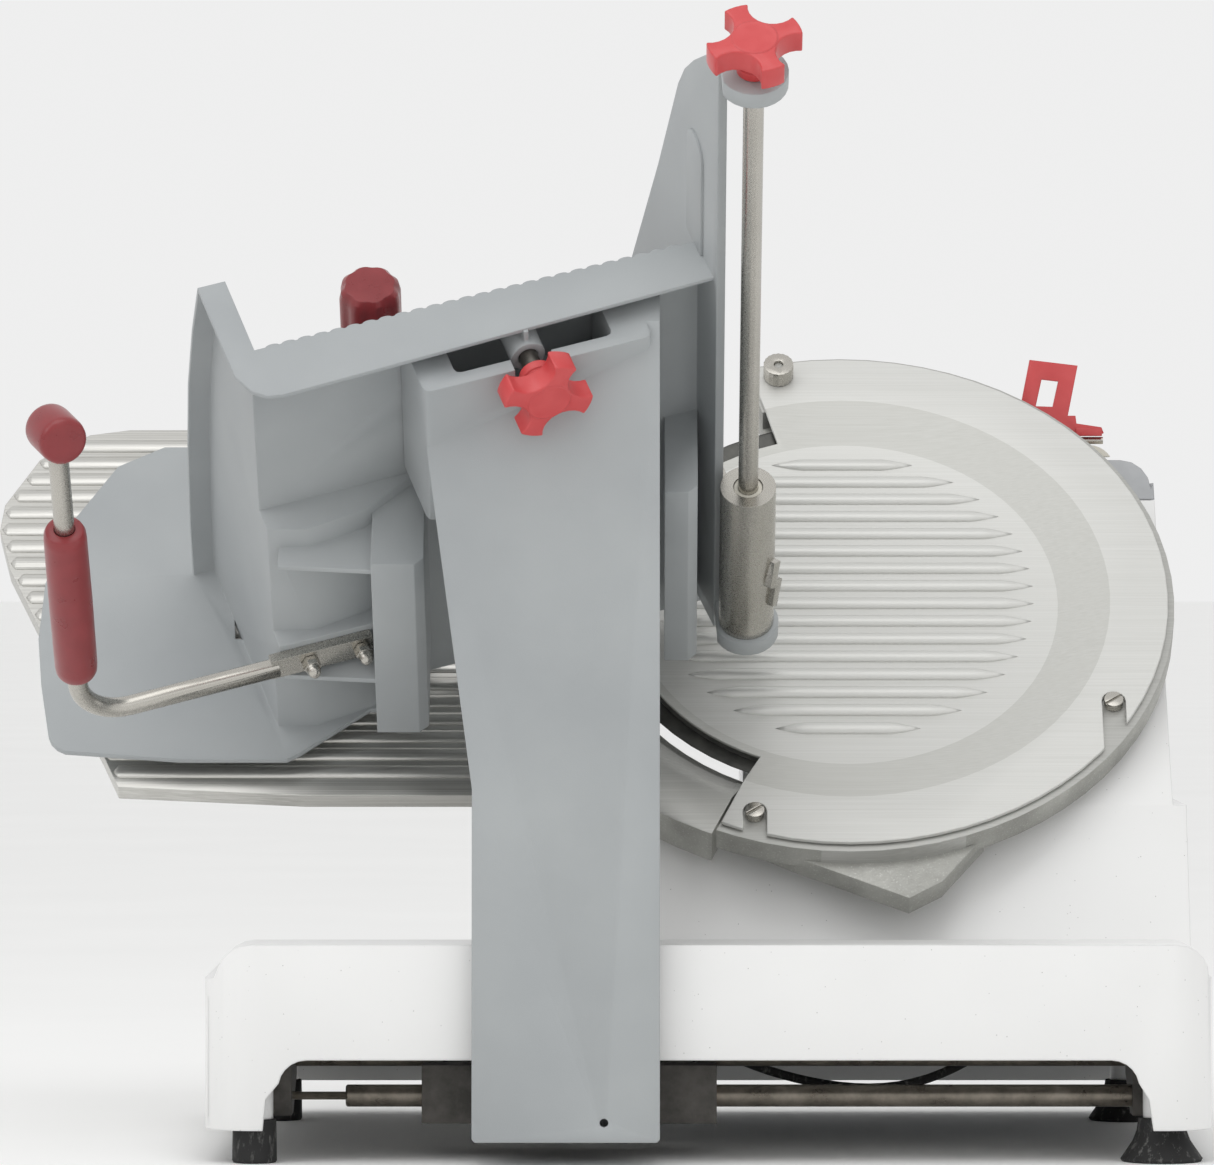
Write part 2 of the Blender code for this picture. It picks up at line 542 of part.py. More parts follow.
stud_bore = rod(STUD_RADIUS + GAP, 0.0249, 0.08, 24)
cut(tray, tool("stud_bore", stud_bore, tray_frame, stud_place, to_underside))

SKIRT_LOW, SKIRT_HIGH = 0.007, 0.011
skirt = [
    (-0.3180, -0.112), (-0.3640, -0.151), (-0.3720, -0.156), (-0.4430, -0.156), (-0.5080, -0.150),
    *arc((-0.5130, -0.132), 0.018, 250, 190, 3),
    (-0.5380, -0.090), (-0.5420, -0.050), (-0.5400, 0.000), (-0.5280, 0.050), (-0.4960, 0.107),
    (-0.4650, 0.125), (-0.4200, 0.125), (-0.4100, -0.050), (-0.300, -0.060), (-0.300, -0.112),
]
fuse(tray, tool("tray_skirt", prism(skirt, SKIRT_LOW, SKIRT_HIGH), knife_frame))

# ---- Clamping knobs -----------------------------------------------------------------------
HUB_RADIUS, HUB_HEIGHT, STAR_HEIGHT = 0.011, 0.012, 0.016


def star_knob(bore, depth):
    """Four-armed knob on +Z, hub first, with a blind bore for its stud."""
    arm = [(0.97, -15), (1, 0), (0.97, 15), (0.56, 33), (0.50, 45), (0.56, 57)]
    outline = [
        polar(KNOB_RADIUS * share, quarter * 90 + angle) for quarter in range(4) for share, angle in arm
    ]
    star = prism(outline, HUB_HEIGHT, HUB_HEIGHT + STAR_HEIGHT)
    hub = rod(HUB_RADIUS, 0, HUB_HEIGHT + 0.004, 24)
    hole = rod(bore, -0.01, depth, 24)
    return star, hub, hole


def add_knob(name, bore, depth, parent, place, turn):
    star, hub, hole = star_knob(bore, depth)
    made = piece(name, star, "signal_red", parent, place, turn)
    fuse(made, tool(name + "_hub", hub, parent, place, turn))
    cut(made, tool(name + "_bore", hole, parent, place, turn))
    return made


upper_place, upper_turn = (PUSHER_X, PUSHER_Y, lug_top + GAP), (0, 0, math.radians(20))
add_knob("upper_knob", PUSHER_ROD_RADIUS + GAP, 0.014, tray_frame, upper_place, upper_turn)
rod_low, rod_high = LUG_LOW + 0.0035, lug_top + 0.013
pusher_rod = rod(PUSHER_ROD_RADIUS, rod_low, rod_high)
piece("pusher_rod", pusher_rod, "stainless_steel", tray_frame, (PUSHER_X, PUSHER_Y, 0))
lower_place = (STUD_X, -0.0570, STUD_LEVEL)
lower_turn = (math.pi / 2, math.radians(30), 0)
add_knob("lower_knob", STUD_RADIUS + GAP, 0.010, tray_frame, lower_place, lower_turn)
lower_stud = rod(STUD_RADIUS, 0.0253, 0.0660)
piece("lower_knob_stud", lower_stud, "dark_steel", tray_frame, stud_place, to_underside)

# ---- Carriage handle ----------------------------------------------------------------------
GRIP_X, GRIP_LOW, GRIP_HIGH, CAP_LEVEL = -0.141, 0.137, 0.275, 0.363
BEND = 0.034


def tube(points, radius, steps=16):
    """A round bar bent along a line of points."""
    bm = bmesh.new()
    points = [Vector(point) for point in points]
    side = Vector((0, 1, 0))
    rings = []
    for at, point in enumerate(points):
        ahead = points[min(at + 1, len(points) - 1)] - points[max(at - 1, 0)]
        across = ahead.cross(side).normalized()
        up = across.cross(ahead).normalized()
        angles = [math.tau * turn / steps for turn in range(steps)]
        around = [point + radius * (across * math.cos(a) + up * math.sin(a)) for a in angles]
        rings.append([bm.verts.new(place) for place in around])
    for low, high in zip(rings, rings[1:]):
        for at in range(steps):
            bm.faces.new((low[at - 1], low[at], high[at], high[at - 1]))
    bm.faces.new(rings[0])
    bm.faces.new(rings[-1])
    return bm


bend_centre = (GRIP_X + BEND, NUT_LEVEL - 0.002 + BEND)
bend = [(x, ROD_DEEP, level) for x, level in arc(bend_centre, BEND, 270, 180, 10)]
handle_path = [(-0.007, ROD_DEEP, NUT_LEVEL - 0.002), *bend, (GRIP_X, ROD_DEEP, CAP_LEVEL - 0.012)]
handle_rod = piece("handle_rod", tube(handle_path, HANDLE_RADIUS, 24), "stainless_steel", tray_frame)
tang_low = (-0.012, ROD_DEEP - TANG_HALF, NUT_LEVEL - 0.0085)
tang_high = (0.0572, ROD_DEEP + TANG_HALF, NUT_LEVEL + 0.0085)
fuse(handle_rod, tool("handle_tang", box(tang_low, tang_high), tray_frame))
grip_profile = [
    (HANDLE_RADIUS + GAP, GRIP_LOW), (0.0115, GRIP_LOW), (0.0138, GRIP_LOW + 0.004),
    (0.0140, (GRIP_LOW + GRIP_HIGH) / 2), (0.0138, GRIP_HIGH - 0.004), (0.0115, GRIP_HIGH),
    (HANDLE_RADIUS + GAP, GRIP_HIGH),
]
piece("handle_grip", turned(grip_profile, 24), "burgundy", tray_frame, (GRIP_X, ROD_DEEP, 0))
CAP_TURN = (math.radians(68), 0, math.radians(8))
cap_profile = [
    (0, -0.016), (0.0140, -0.016), (0.0156, -0.013), (0.0156, 0.011), (0.0130, 0.015), (0, 0.0155),
]
cap_place = (GRIP_X, ROD_DEEP, CAP_LEVEL)
handle_cap = piece("handle_cap", turned(cap_profile, 24), "burgundy", tray_frame, cap_place, CAP_TURN)
cap_socket = rod(HANDLE_RADIUS + GAP, -0.05, CAP_LEVEL - 0.012 + GAP, 24)
cut(handle_cap, tool("cap_socket", cap_socket, tray_frame, (GRIP_X, ROD_DEEP, 0)))
NUT_PLACES = {"handle_nut_outer": 0.0140, "handle_nut_inner": 0.0496}
for nut_name, nut_x in NUT_PLACES.items():
    hexagon = [polar(0.0060, at * 60) for at in range(6)]
    nut_place = (nut_x, ROD_DEEP - TANG_HALF - GAP, NUT_LEVEL)
    nut = prism(hexagon, 0, 0.0065)
    nut = piece(nut_name, nut, "stainless_steel", tray_frame, nut_place, to_underside)
    dome_profile = [
        (0, 0.003), (0.0047, 0.003), (0.0047, 0.0085), (0.0039, 0.0118), (0.0022, 0.0136), (0, 0.0141),
    ]
    dome = turned(dome_profile, 16)
    fuse(nut, tool(nut_name + "_dome", dome, tray_frame, nut_place, to_underside))

# ---- Pusher -------------------------------------------------------------------------------
ARM_LEVEL, ARM_WIDE = 0.062, 0.036
bush_radius = PUSHER_ROD_RADIUS + 0.0030
sleeve = ring(bush_radius + GAP, SLEEVE_RADIUS, SLEEVE_LOW, SLEEVE_HIGH, 32)
pusher_place = (PUSHER_X, PUSHER_Y, 0)
piece("pusher_sleeve", sleeve, "stainless_steel", tray_frame, pusher_place)
sleeve_bush = ring(PUSHER_ROD_RADIUS + RUNNING, bush_radius, SLEEVE_LOW, SLEEVE_HIGH - 0.001, 24)
piece("pusher_bush", sleeve_bush, "pale_plastic", tray_frame, pusher_place)
REACH_X, REACH_Y = 0.1245 - PUSHER_X, 0.2266
clear_of_wall = WALL_HIGH - PUSHER_Y + 0.010
pusher_outline = [
    (0.0045, 0.0120), (0.0045, clear_of_wall), (-0.030, clear_of_wall + 0.004),
    (REACH_X + 0.006, REACH_Y - 0.012),
    (REACH_X + 0.006, 0.1216), (REACH_X - 0.006, 0.1216), (REACH_X - 0.006, REACH_Y + 0.006),
    (REACH_X + 0.004, REACH_Y + 0.010), (-0.020, clear_of_wall + 0.016), (0.0125, clear_of_wall + 0.008),
    (0.0145, clear_of_wall - 0.002), (0.0145, 0.0120),
]
arm_top = ARM_LEVEL + ARM_WIDE
pusher_arm = prism(pusher_outline, ARM_LEVEL, arm_top)
pusher_arm = piece("pusher_arm", pusher_arm, "stainless_steel", tray_frame, pusher_place)
sleeve_room = rod(SLEEVE_RADIUS + GAP, ARM_LEVEL - 0.01, arm_top + 0.01, 32)
cut(pusher_arm, tool("arm_sleeve_room", sleeve_room, tray_frame, pusher_place))
PLATE_LOW, PLATE_THICK, TOOTH = 0.027, 0.005, 0.008
plate_left, plate_right, plate_bottom, plate_top = 0.010, 0.122, 0.006, 0.120


def toothed_plate(columns, rows):
    """A plate with rows of low pyramids on its knife side."""
    bm = box((plate_left, plate_bottom, PLATE_LOW), (plate_right, plate_top, PLATE_LOW + PLATE_THICK))
    for axis, count in ((0, columns), (1, rows)):
        low, high = ((plate_left, plate_right), (plate_bottom, plate_top))[axis]
        for at in range(1, count):
            point, normal = [0, 0, 0], [0, 0, 0]
            point[axis], normal[axis] = low + (high - low) * at / count, 1
            everything = bm.verts[:] + bm.edges[:] + bm.faces[:]
            bmesh.ops.bisect_plane(bm, geom=everything, plane_co=point, plane_no=normal)
    under = [face for face in bm.faces if face.calc_center_median().z < PLATE_LOW + 0.0001]
    poked = bmesh.ops.poke(bm, faces=under)
    bmesh.ops.translate(bm, verts=poked["verts"], vec=(0, 0, -TOOTH))
    return bm


pusher_plate = piece("pusher_plate", toothed_plate(7, 7), "grey_plastic", tray_frame)
hub_place = (PUSHER_X + REACH_X - 0.006, 0.063, 0)
post_low = (hub_place[0] - 0.010, 0.020, PLATE_LOW + 0.001)
plate_post = box(post_low, (hub_place[0] + 0.006, 0.110, arm_top - 0.006))
fuse(pusher_plate, tool("plate_post", plate_post, tray_frame))
room_low = (hub_place[0] - GAP, 0.0600 - GAP, ARM_LEVEL - GAP)
arm_room = box(room_low, (hub_place[0] + 0.02, 0.2, arm_top + GAP))
cut(pusher_plate, tool("plate_arm_room", arm_room, tray_frame))

flute = [(0.0206, -15), (0.0210, 0), (0.0206, 15), (0.0194, 22.5)]
flutes = [polar(radius, eighth * 45 + angle) for eighth in range(8) for radius, angle in flute]
handle_place = (PUSHER_X + REACH_X, PUSHER_Y + REACH_Y, 0)
pusher_handle = prism(flutes, arm_top + GAP, 0.207)
piece("pusher_handle", pusher_handle, "burgundy", tray_frame, handle_place)

# ---- Knife, guard and cover ---------------------------------------------------------------
DISH = -0.008
OPEN_FROM, OPEN_TO = 107, 247
knife_profile = [
    (SHAFT_RADIUS + GAP, -0.0185), (0.060, -0.0185), (KNIFE_RADIUS - 0.010, -0.0155),
    (KNIFE_RADIUS, EDGE_LEVEL - 0.0002), (KNIFE_RADIUS - 0.0135, EDGE_LEVEL - 0.0033), (0.060, -0.0135),
    (SHAFT_RADIUS + GAP, -0.0135),
]
piece("knife", turned(knife_profile, 64), "knife_steel", knife_frame)
shaft_profile = [
    (0, -0.0130), (0.009, -0.0130), (SHAFT_RADIUS, -0.0145), (SHAFT_RADIUS, -0.1060), (0, -0.1060),
]
shaft = turned(shaft_profile, 32)
knife_shaft = piece("knife_shaft", shaft, "dark_steel", knife_frame)
fuse(knife_shaft, tool("shaft_flange", rod(0.030, -0.0248, -0.0188, 32), knife_frame))

cover_disc = KNIFE_RADIUS - 0.014
flat_disc = KNIFE_RADIUS - 0.021
cone_top = KNIFE_RADIUS + 0.014
cover_profile = [
    (0, DISH), (flat_disc, DISH), (cone_top, 0), (COVER_RADIUS, 0), (COVER_RADIUS, -0.003),
    (cone_top, -0.003), (flat_disc, DISH - 0.0025), (0, DISH - 0.0025),
]
cover = piece("knife_cover_plate", turned(cover_profile, 72), "satin_aluminium", knife_frame)
open_side = prism(sector(cover_disc, COVER_RADIUS + 0.03, OPEN_FROM, OPEN_TO, 28), -0.03, 0.03)
cut(cover, tool("cover_open_side", open_side, knife_frame))
FIXINGS = {"cover_screw_lower": -108.2, "cover_screw_right": -28.2}
NOTCH, SCREW_RADIUS, STUD = 0.0078, 0.0028, 0.0030
for fixing, angle in FIXINGS.items():
    at_x, at_y = polar(FIXING_RADIUS, angle)
    slot = [(at_x - NOTCH, at_y - 0.06), (at_x + NOTCH, at_y - 0.06), *arc((at_x, at_y), NOTCH, 0, 180, 8)]
    cut(cover, tool(fixing + "_notch", prism(slot, -0.01, 0.01), knife_frame))
    screw_profile = [
        (0, -0.0190), (SCREW_RADIUS, -0.0190), (SCREW_RADIUS, -0.0040), (0.0064, -0.0040),
        (0.0064, 0.0010), (0.0059, 0.0016), (0, 0.0016),
    ]
    screw = turned(screw_profile, 20)
    piece(fixing, screw, "stainless_steel", knife_frame, (at_x, at_y, 0))
nut_x, nut_y = polar(NUT_RADIUS, 102)
cut(cover, tool("cover_stud_hole", rod(STUD + 0.0005, -0.02, 0.02, 16), knife_frame, (nut_x, nut_y, 0)))

LEDGE_TOP, LEDGE_BACK, WEB_BACK = -0.0043, -0.0225, TOWER_FACE + 0.0010
guard_profile = [
    (0.085, WEB_BACK), (KNIFE_RADIUS + 0.030, WEB_BACK), (KNIFE_RADIUS + 0.034, LEDGE_BACK),
    (COVER_RADIUS + 0.0045, LEDGE_BACK), (COVER_RADIUS + 0.0045, LEDGE_TOP),
    (KNIFE_RADIUS + 0.015, LEDGE_TOP),
    (KNIFE_RADIUS + 0.0145, -0.0205), (KNIFE_RADIUS + 0.004, -0.0210), (KNIFE_RADIUS + 0.003, -0.0265),
    (0.085, -0.0265),
]
ring_casting = piece("ring_casting", turned(guard_profile, 72), "cast_aluminium", knife_frame)
guard_part = sector(0.050, 0.300, OPEN_FROM + 0.5, OPEN_TO - 361.5, 24)
keep(ring_casting, tool("guard_part", prism(guard_part, -0.05, 0.05), knife_frame))
RIM_START = 203
rim_profile = [
    (KNIFE_RADIUS + 0.0025, -0.0220), (KNIFE_RADIUS + 0.0025, -0.0170), (KNIFE_RADIUS + 0.010, -0.0115),
    (KNIFE_RADIUS + 0.020, -0.0050), (KNIFE_RADIUS + 0.031, 0.0006), (KNIFE_RADIUS + 0.0655, 0.0006),
    (KNIFE_RADIUS + 0.0655, -0.0270), (KNIFE_RADIUS + 0.050, -0.0270),
]
rim = tool("guard_rim", turned(rim_profile, 72), knife_frame)
rim_part = sector(0.10, 0.30, RIM_START, OPEN_TO - 0.4, 12)
keep(rim, tool("guard_rim_part", prism(rim_part, -0.05, 0.05), knife_frame))
fuse(ring_casting, rim)
leg = [
    polar(KNIFE_RADIUS + 0.045, -112), polar(KNIFE_RADIUS + 0.055, -100), (0.038, -0.252),
    (0.060, -0.238), polar(KNIFE_RADIUS + 0.053, -66), polar(KNIFE_RADIUS + 0.020, -70),
    polar(KNIFE_RADIUS + 0.020, -108),
]
fuse(ring_casting, tool("guard_leg", prism(leg, WEB_BACK + 0.0005, LEDGE_BACK + 0.006), knife_frame))
for fixing, angle in FIXINGS.items():
    at_x, at_y = polar(FIXING_RADIUS, angle)
    tapped = rod(SCREW_RADIUS + GAP, -0.0200, 0.01, 20)
    cut(ring_casting, tool(fixing + "_tapping", tapped, knife_frame, (at_x, at_y, 0)))
fuse(ring_casting, tool("cover_stud", rod(STUD, -0.020, 0.0105, 16), knife_frame, (nut_x, nut_y, 0)))
knurl = [polar(0.0105 if at % 2 else 0.0101, at * 10) for at in range(36)]
nut_place = (nut_x, nut_y, 0)
cover_nut = piece("cover_nut", prism(knurl, GAP, 0.0125), "stainless_steel", knife_frame, nut_place)
cut(cover_nut, tool("cover_nut_bore", rod(STUD + GAP, -0.01, 0.03, 16), knife_frame, nut_place))

# ---- Knife drive --------------------------------------------------------------------------
bearing_house = turned([
    (0.0245, TOWER_FACE - SHELL - GAP), (0.046, TOWER_FACE - SHELL - GAP), (0.046, -0.046),
    (0.034, -0.052), (0.034, -0.086), (0.0245, -0.086),
], 32)
piece("bearing_housing", bearing_house, "cast_aluminium", knife_frame)
for mark, low in (("front", -0.056), ("rear", -0.085)):
    race = ring(SHAFT_RADIUS + GAP, 0.0242, low, low + 0.014, 32)
    piece("knife_bearing_" + mark, race, "dark_steel", knife_frame)
shaft_hole = rod(0.0330, TOWER_FACE - SHELL - 0.01, TOWER_FACE + 0.02, 32)
cut(base_housing, tool("shaft_hole", shaft_hole, knife_frame))

PULLEY_LOW, PULLEY_HIGH = -0.1045, -0.0900
KNIFE_PULLEY, MOTOR_PULLEY, BELT = 0.048, 0.022, 0.0025
MOTOR_AT = (0.070, -0.160)
knife_pulley = ring(SHAFT_RADIUS + GAP, KNIFE_PULLEY, PULLEY_LOW, PULLEY_HIGH, 40)
piece("knife_pulley", knife_pulley, "cast_aluminium", knife_frame)
MOTOR_SHAFT = 0.007
motor_place = (*MOTOR_AT, 0)
rotor = turned([
    (0, PULLEY_HIGH), (MOTOR_PULLEY, PULLEY_HIGH), (MOTOR_PULLEY, PULLEY_LOW),
    (MOTOR_SHAFT, PULLEY_LOW), (MOTOR_SHAFT, -0.1160), (0, -0.1160),
], 32)
piece("motor_pulley", rotor, "dark_steel", knife_frame, motor_place)


def belt_outline(grow):
    """Open belt round both pulleys, its inner line grown outwards."""
    span = Vector(MOTOR_AT)
    heading = math.degrees(math.atan2(span.y, span.x))
    lean = math.degrees(math.acos((KNIFE_PULLEY - MOTOR_PULLEY) / span.length))
    large = arc((0, 0), KNIFE_PULLEY + GAP * 1.5 + grow, heading + lean, heading + 360 - lean, 32)
    small = arc(MOTOR_AT, MOTOR_PULLEY + GAP * 1.5 + grow, heading - lean, heading + lean, 16)
    return large + small


belt = prism(belt_outline(BELT), PULLEY_LOW + 0.001, PULLEY_HIGH - 0.001)
belt = piece("drive_belt", belt, "black_rubber", knife_frame)
cut(belt, tool("belt_inside", prism(belt_outline(0), -0.2, 0), knife_frame))
mount_high, mount_low = -0.1075, -0.1115
mount_right = TOWER_RIGHT - SHELL - KNIFE_CENTRE[0] - 0.0095
mount_plan = [(-0.010, -0.230), (mount_right, -0.230), (mount_right, -0.100), (-0.010, -0.100)]
motor_mount = piece("motor_mount", prism(mount_plan, mount_low, mount_high), "zinc_plate", knife_frame)
cut(motor_mount, tool("mount_hole", rod(0.012, -0.2, 0, 24), knife_frame, motor_place))
motor_profile = [
    (0, -0.190), (0.040, -0.190), (0.044, -0.186), (0.044, mount_low - GAP), (0.0075, mount_low - GAP),
    (0.0075, -0.1165), (0, -0.1165),
]
piece("motor", turned(motor_profile, 40), "cast_aluminium", knife_frame, motor_place)

# ---- Slice deflector, gauge plate and its slide -------------------------------------------
deflector = sector(0.050, KNIFE_RADIUS - 0.018, 109, 244, 20)
piece("slice_deflector", prism(deflector, -0.0275, -0.0255), "zinc_plate", knife_frame)

GAUGE_FACE, GAUGE_BACK = EDGE_LEVEL, -0.0210
gauge_plan = [
    (-0.467, 0.1596), (-0.4914, 0.1596), (-0.5188, 0.1548), (-0.5521, 0.1314), (-0.5737, 0.0894),
    (-0.5758, 0.0664), (-0.5669, 0.0297), (-0.4949, -0.1371), (-0.4844, -0.1632), (-0.3600, -0.1705),
    (-0.2080, -0.1705), *arc((0, 0), KNIFE_RADIUS + 0.0670, 211, RIM_START - 0.5, 2),
    *arc((0, 0), KNIFE_RADIUS + KNIFE_SPACE, RIM_START - 0.8, 128, 24), (-0.110, 0.1596),
]
gauge_plate = piece("gauge_plate", prism(gauge_plan, GAUGE_BACK, GAUGE_FACE), "satin_aluminium", knife_frame)
pockets = {
    "outer": [
        (-0.520, 0.132), (-0.556, 0.080), (-0.488, -0.137), (-0.378, -0.157), (-0.378, 0.148),
        (-0.494, 0.148),
    ],
    "upper": [(-0.370, 0.148), (-0.370, -0.050), (-0.190, -0.050), (-0.190, 0.080), (-0.150, 0.148)],
    "lower": [(-0.370, -0.158), (-0.250, -0.158), (-0.250, -0.060), (-0.370, -0.060)],
}
for mark, pocket in pockets.items():
    recess = prism(pocket, GAUGE_BACK - 0.01, GAUGE_FACE - 0.005)
    cut(gauge_plate, tool(f"gauge_{mark}_pocket", recess, knife_frame))
BAR_AT, BAR_RADIUS = (-0.232, -0.100), 0.010
bar_place = (*BAR_AT, 0)
gauge_bar = rod(BAR_RADIUS, -0.203, GAUGE_BACK - GAP)
piece("gauge_slide_bar", gauge_bar, "stainless_steel", knife_frame, bar_place)
guide_x = KNIFE_CENTRE[0] + BAR_AT[0]
guide_low, guide_high = on_face(BAR_AT[1], -0.190), on_face(BAR_AT[1], -0.110)
guide_side = [
    (guide_low[0] - 0.030, DECK_TOP + GAP), (BASE_BACK - 0.030, DECK_TOP + GAP),
    (BASE_BACK - 0.030, DECK_TOP + 0.012),
    (guide_low[0] + 0.014, guide_low[1] + 0.016), (guide_high[0] + 0.014, guide_high[1] + 0.016),
    (guide_high[0] - 0.014, guide_high[1] - 0.016), (guide_low[0] - 0.030, DECK_TOP + 0.020),
]
gauge_guide = prism(guide_side, guide_x - 0.019, guide_x + 0.019, "yz")
gauge_guide = piece("gauge_guide", gauge_guide, "cast_aluminium")
guide_bore = rod(BAR_RADIUS + RUNNING, -0.26, 0)
cut(gauge_guide, tool("guide_bore", guide_bore, knife_frame, bar_place))

# ---- Operator's controls on the rear face -------------------------------------------------
facing_back = (-math.pi / 2, 0, 0)
DIAL_X, DIAL_Z, DIAL_RADIUS = -0.190, 0.070, 0.030
dial_place = (DIAL_X, BASE_BACK, DIAL_Z)
grips = [polar(DIAL_RADIUS if at % 3 else DIAL_RADIUS - 0.0015, at * 10) for at in range(36)]
index_dial = piece("index_dial", prism(grips, GAP, 0.018), "black_plastic", machine, dial_place, facing_back)
dial_shaft = rod(0.006, -0.040, 0.001, 20)
fuse(index_dial, tool("dial_shaft", dial_shaft, machine, dial_place, facing_back))
cam = [polar(0.012 + 0.012 * at / 32, -at * 300 / 32) for at in range(33)]
fuse(index_dial, tool("index_cam", prism(cam, -0.032, -0.026), machine, dial_place, facing_back))
cut(base_housing, tool("dial_hole", rod(0.0065, -0.02, 0.02, 20), machine, dial_place, facing_back))

PANEL_X, PANEL_Z = 0.115, 0.074
panel_place = (PANEL_X, BASE_BACK, PANEL_Z)
panel = prism(round_box(-0.040, 0.040, -0.022, 0.022, 0.006, 3), GAP, 0.0030)
switch_panel = piece("switch_panel", panel, "black_plastic", machine, panel_place, facing_back)
BUTTONS = (("start_button", 0.018, "green_plastic"), ("stop_button", -0.018, "signal_red"))
for button_name, button_x, look in BUTTONS:
    button_place = (PANEL_X + button_x, BASE_BACK, PANEL_Z)
    button = turned([(0, -0.012), (0.0105, -0.012), (0.0105, 0.0068), (0.0095, 0.0078), (0, 0.0078)], 24)
    piece(button_name, button, look, machine, button_place, facing_back)
    button_hole = rod(0.0108, -0.02, 0.02, 24)
    hole = tool(button_name + "_hole", button_hole, machine, button_place, facing_back)
    cut(switch_panel, hole)
    cut(base_housing, hole)
gland_profile = [(0.0035, 0.0135), (0.0075, 0.0135), (0.0095, 0.0090), (0.0095, GAP), (0.0035, GAP)]
gland_place = (TOWER_RIGHT - 0.050, BASE_BACK, 0.050)
piece("cable_gland", turned(gland_profile, 20), "black_plastic", machine, gland_place, facing_back)
cut(base_housing, tool("gland_hole", rod(0.0045, -0.02, 0.02, 20), machine, gland_place, facing_back))

# ---- Sharpener on the tower's cap ---------------------------------------------------------
PIN_RADIUS, PIN_X, PIN_LENGTH = 0.0025, TOWER_RIGHT - 0.095, 0.053
cap_top = TOWER_TOP + CAP_HEIGHT
sharpener_y = BASE_BACK - 0.023
PIN_Z = cap_top + 0.0118
pin_place = (PIN_X, sharpener_y, PIN_Z)
sharpener_pin = rod(PIN_RADIUS, 0.001, PIN_LENGTH, 16)
piece("sharpener_pin", sharpener_pin, "stainless_steel", machine, pin_place, slide_turn)
drum_x, drum_z = PIN_X + 0.0425, PIN_Z - 0.0213
drum = arc((drum_x, drum_z), 0.018, 34, 117, 8)
drum = [(drum[0][0], cap_top + GAP), *drum, (PIN_X + 0.0345, cap_top + GAP)]
drum = prism(drum, sharpener_y - 0.011, sharpener_y + 0.013, "xz")
sharpener_body = piece("sharpener_body", drum, "pale_plastic")
strip_low = (PIN_X, sharpener_y - 0.008, cap_top + GAP)
strip = box(strip_low, (PIN_X + 0.040, sharpener_y + 0.008, cap_top + 0.0038))
fuse(sharpener_body, tool("sharpener_strip", strip))
ear_post = box((PIN_X, sharpener_y - 0.0045, cap_top + 0.002), (PIN_X + 0.010, sharpener_y + 0.0045, PIN_Z))
fuse(sharpener_body, tool("sharpener_ear_post", ear_post))
fuse(sharpener_body, tool("sharpener_ear", rod(0.0055, 0, 0.010, 20), machine, pin_place, slide_turn))
pin_room = rod(PIN_RADIUS + GAP, -0.01, 0.02, 20)
cut(sharpener_body, tool("sharpener_pin_bore", pin_room, machine, pin_place, slide_turn))

lever_outline = [
    (-0.0075, 0.0073), (0.0113, 0.0073), (0.0120, 0.0015), (0.028, 0.0010), (0.0335, 0.0031),
    (0.0480, 0.0031), (0.0535, 0.0050), (0.0518, 0.0092), (0.0345, 0.0118), (0.0338, 0.0172),
    (0.0285, 0.0172), (0.0353, 0.0520), (0.0020, 0.0560),
]
lever_outline = [(PIN_X + across, PIN_Z + up) for across, up in lever_outline]
lever = prism(lever_outline, sharpener_y - 0.0035, sharpener_y + 0.0035, "xz")
lever = piece("sharpener_lever", lever, "signal_red")
window = [(0.0062, 0.0238), (0.0180, 0.0234), (0.0218, 0.0409), (0.0102, 0.0423)]
window = [(PIN_X + across, PIN_Z + up) for across, up in window]
cut(lever, tool("lever_window", prism(window, 0, 0.3, "xz")))
fuse(lever, tool("lever_hub", rod(0.0060, 0.0115, 0.0335, 24), machine, pin_place, slide_turn))
cut(lever, tool("lever_bore", rod(PIN_RADIUS + GAP, 0.005, 0.0600, 20), machine, pin_place, slide_turn))
tab_low = (PIN_X + 0.034, sharpener_y - 0.007, PIN_Z + 0.0031)
tab = box(tab_low, (PIN_X + 0.052, sharpener_y + 0.007, PIN_Z + 0.0085))
fuse(lever, tool("lever_tab", tab))

# ---- Wiring under the base ----------------------------------------------------------------
loom = []
for at in range(17):
    share = at / 16
    sag = 4 * share * (1 - share)
    loom.append((0.060 + 0.150 * share, -0.128 + 0.020 * math.sin(share * math.tau), 0.0555 - 0.018 * sag))
piece("wiring_loom", tube(loom, 0.003, 10), "black_rubber")
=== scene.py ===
import json
import math

import bmesh
import bpy
from mathutils import Matrix, Vector


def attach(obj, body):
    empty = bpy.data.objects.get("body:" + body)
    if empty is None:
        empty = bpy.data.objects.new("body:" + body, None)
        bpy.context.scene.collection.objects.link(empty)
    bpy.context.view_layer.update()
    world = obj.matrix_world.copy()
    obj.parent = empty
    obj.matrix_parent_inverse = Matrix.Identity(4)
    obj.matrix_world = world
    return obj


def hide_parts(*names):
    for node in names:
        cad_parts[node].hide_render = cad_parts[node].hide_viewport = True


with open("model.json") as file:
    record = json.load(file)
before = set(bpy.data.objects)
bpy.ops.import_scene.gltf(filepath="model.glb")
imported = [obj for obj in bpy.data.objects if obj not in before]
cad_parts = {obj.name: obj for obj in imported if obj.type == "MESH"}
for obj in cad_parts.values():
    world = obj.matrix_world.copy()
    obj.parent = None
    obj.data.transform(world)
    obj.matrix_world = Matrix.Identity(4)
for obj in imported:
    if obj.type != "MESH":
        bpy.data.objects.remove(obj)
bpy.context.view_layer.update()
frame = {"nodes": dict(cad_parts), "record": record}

scene = bpy.context.scene
scene.view_settings.view_transform = "Standard"
record = frame["record"]
BODY_OF = {node: body for body, nodes in record["behaviour"]["bodies"].items() for node in nodes}
JOINTS = {joint["name"]: joint for joint in record["behaviour"]["joints"]}


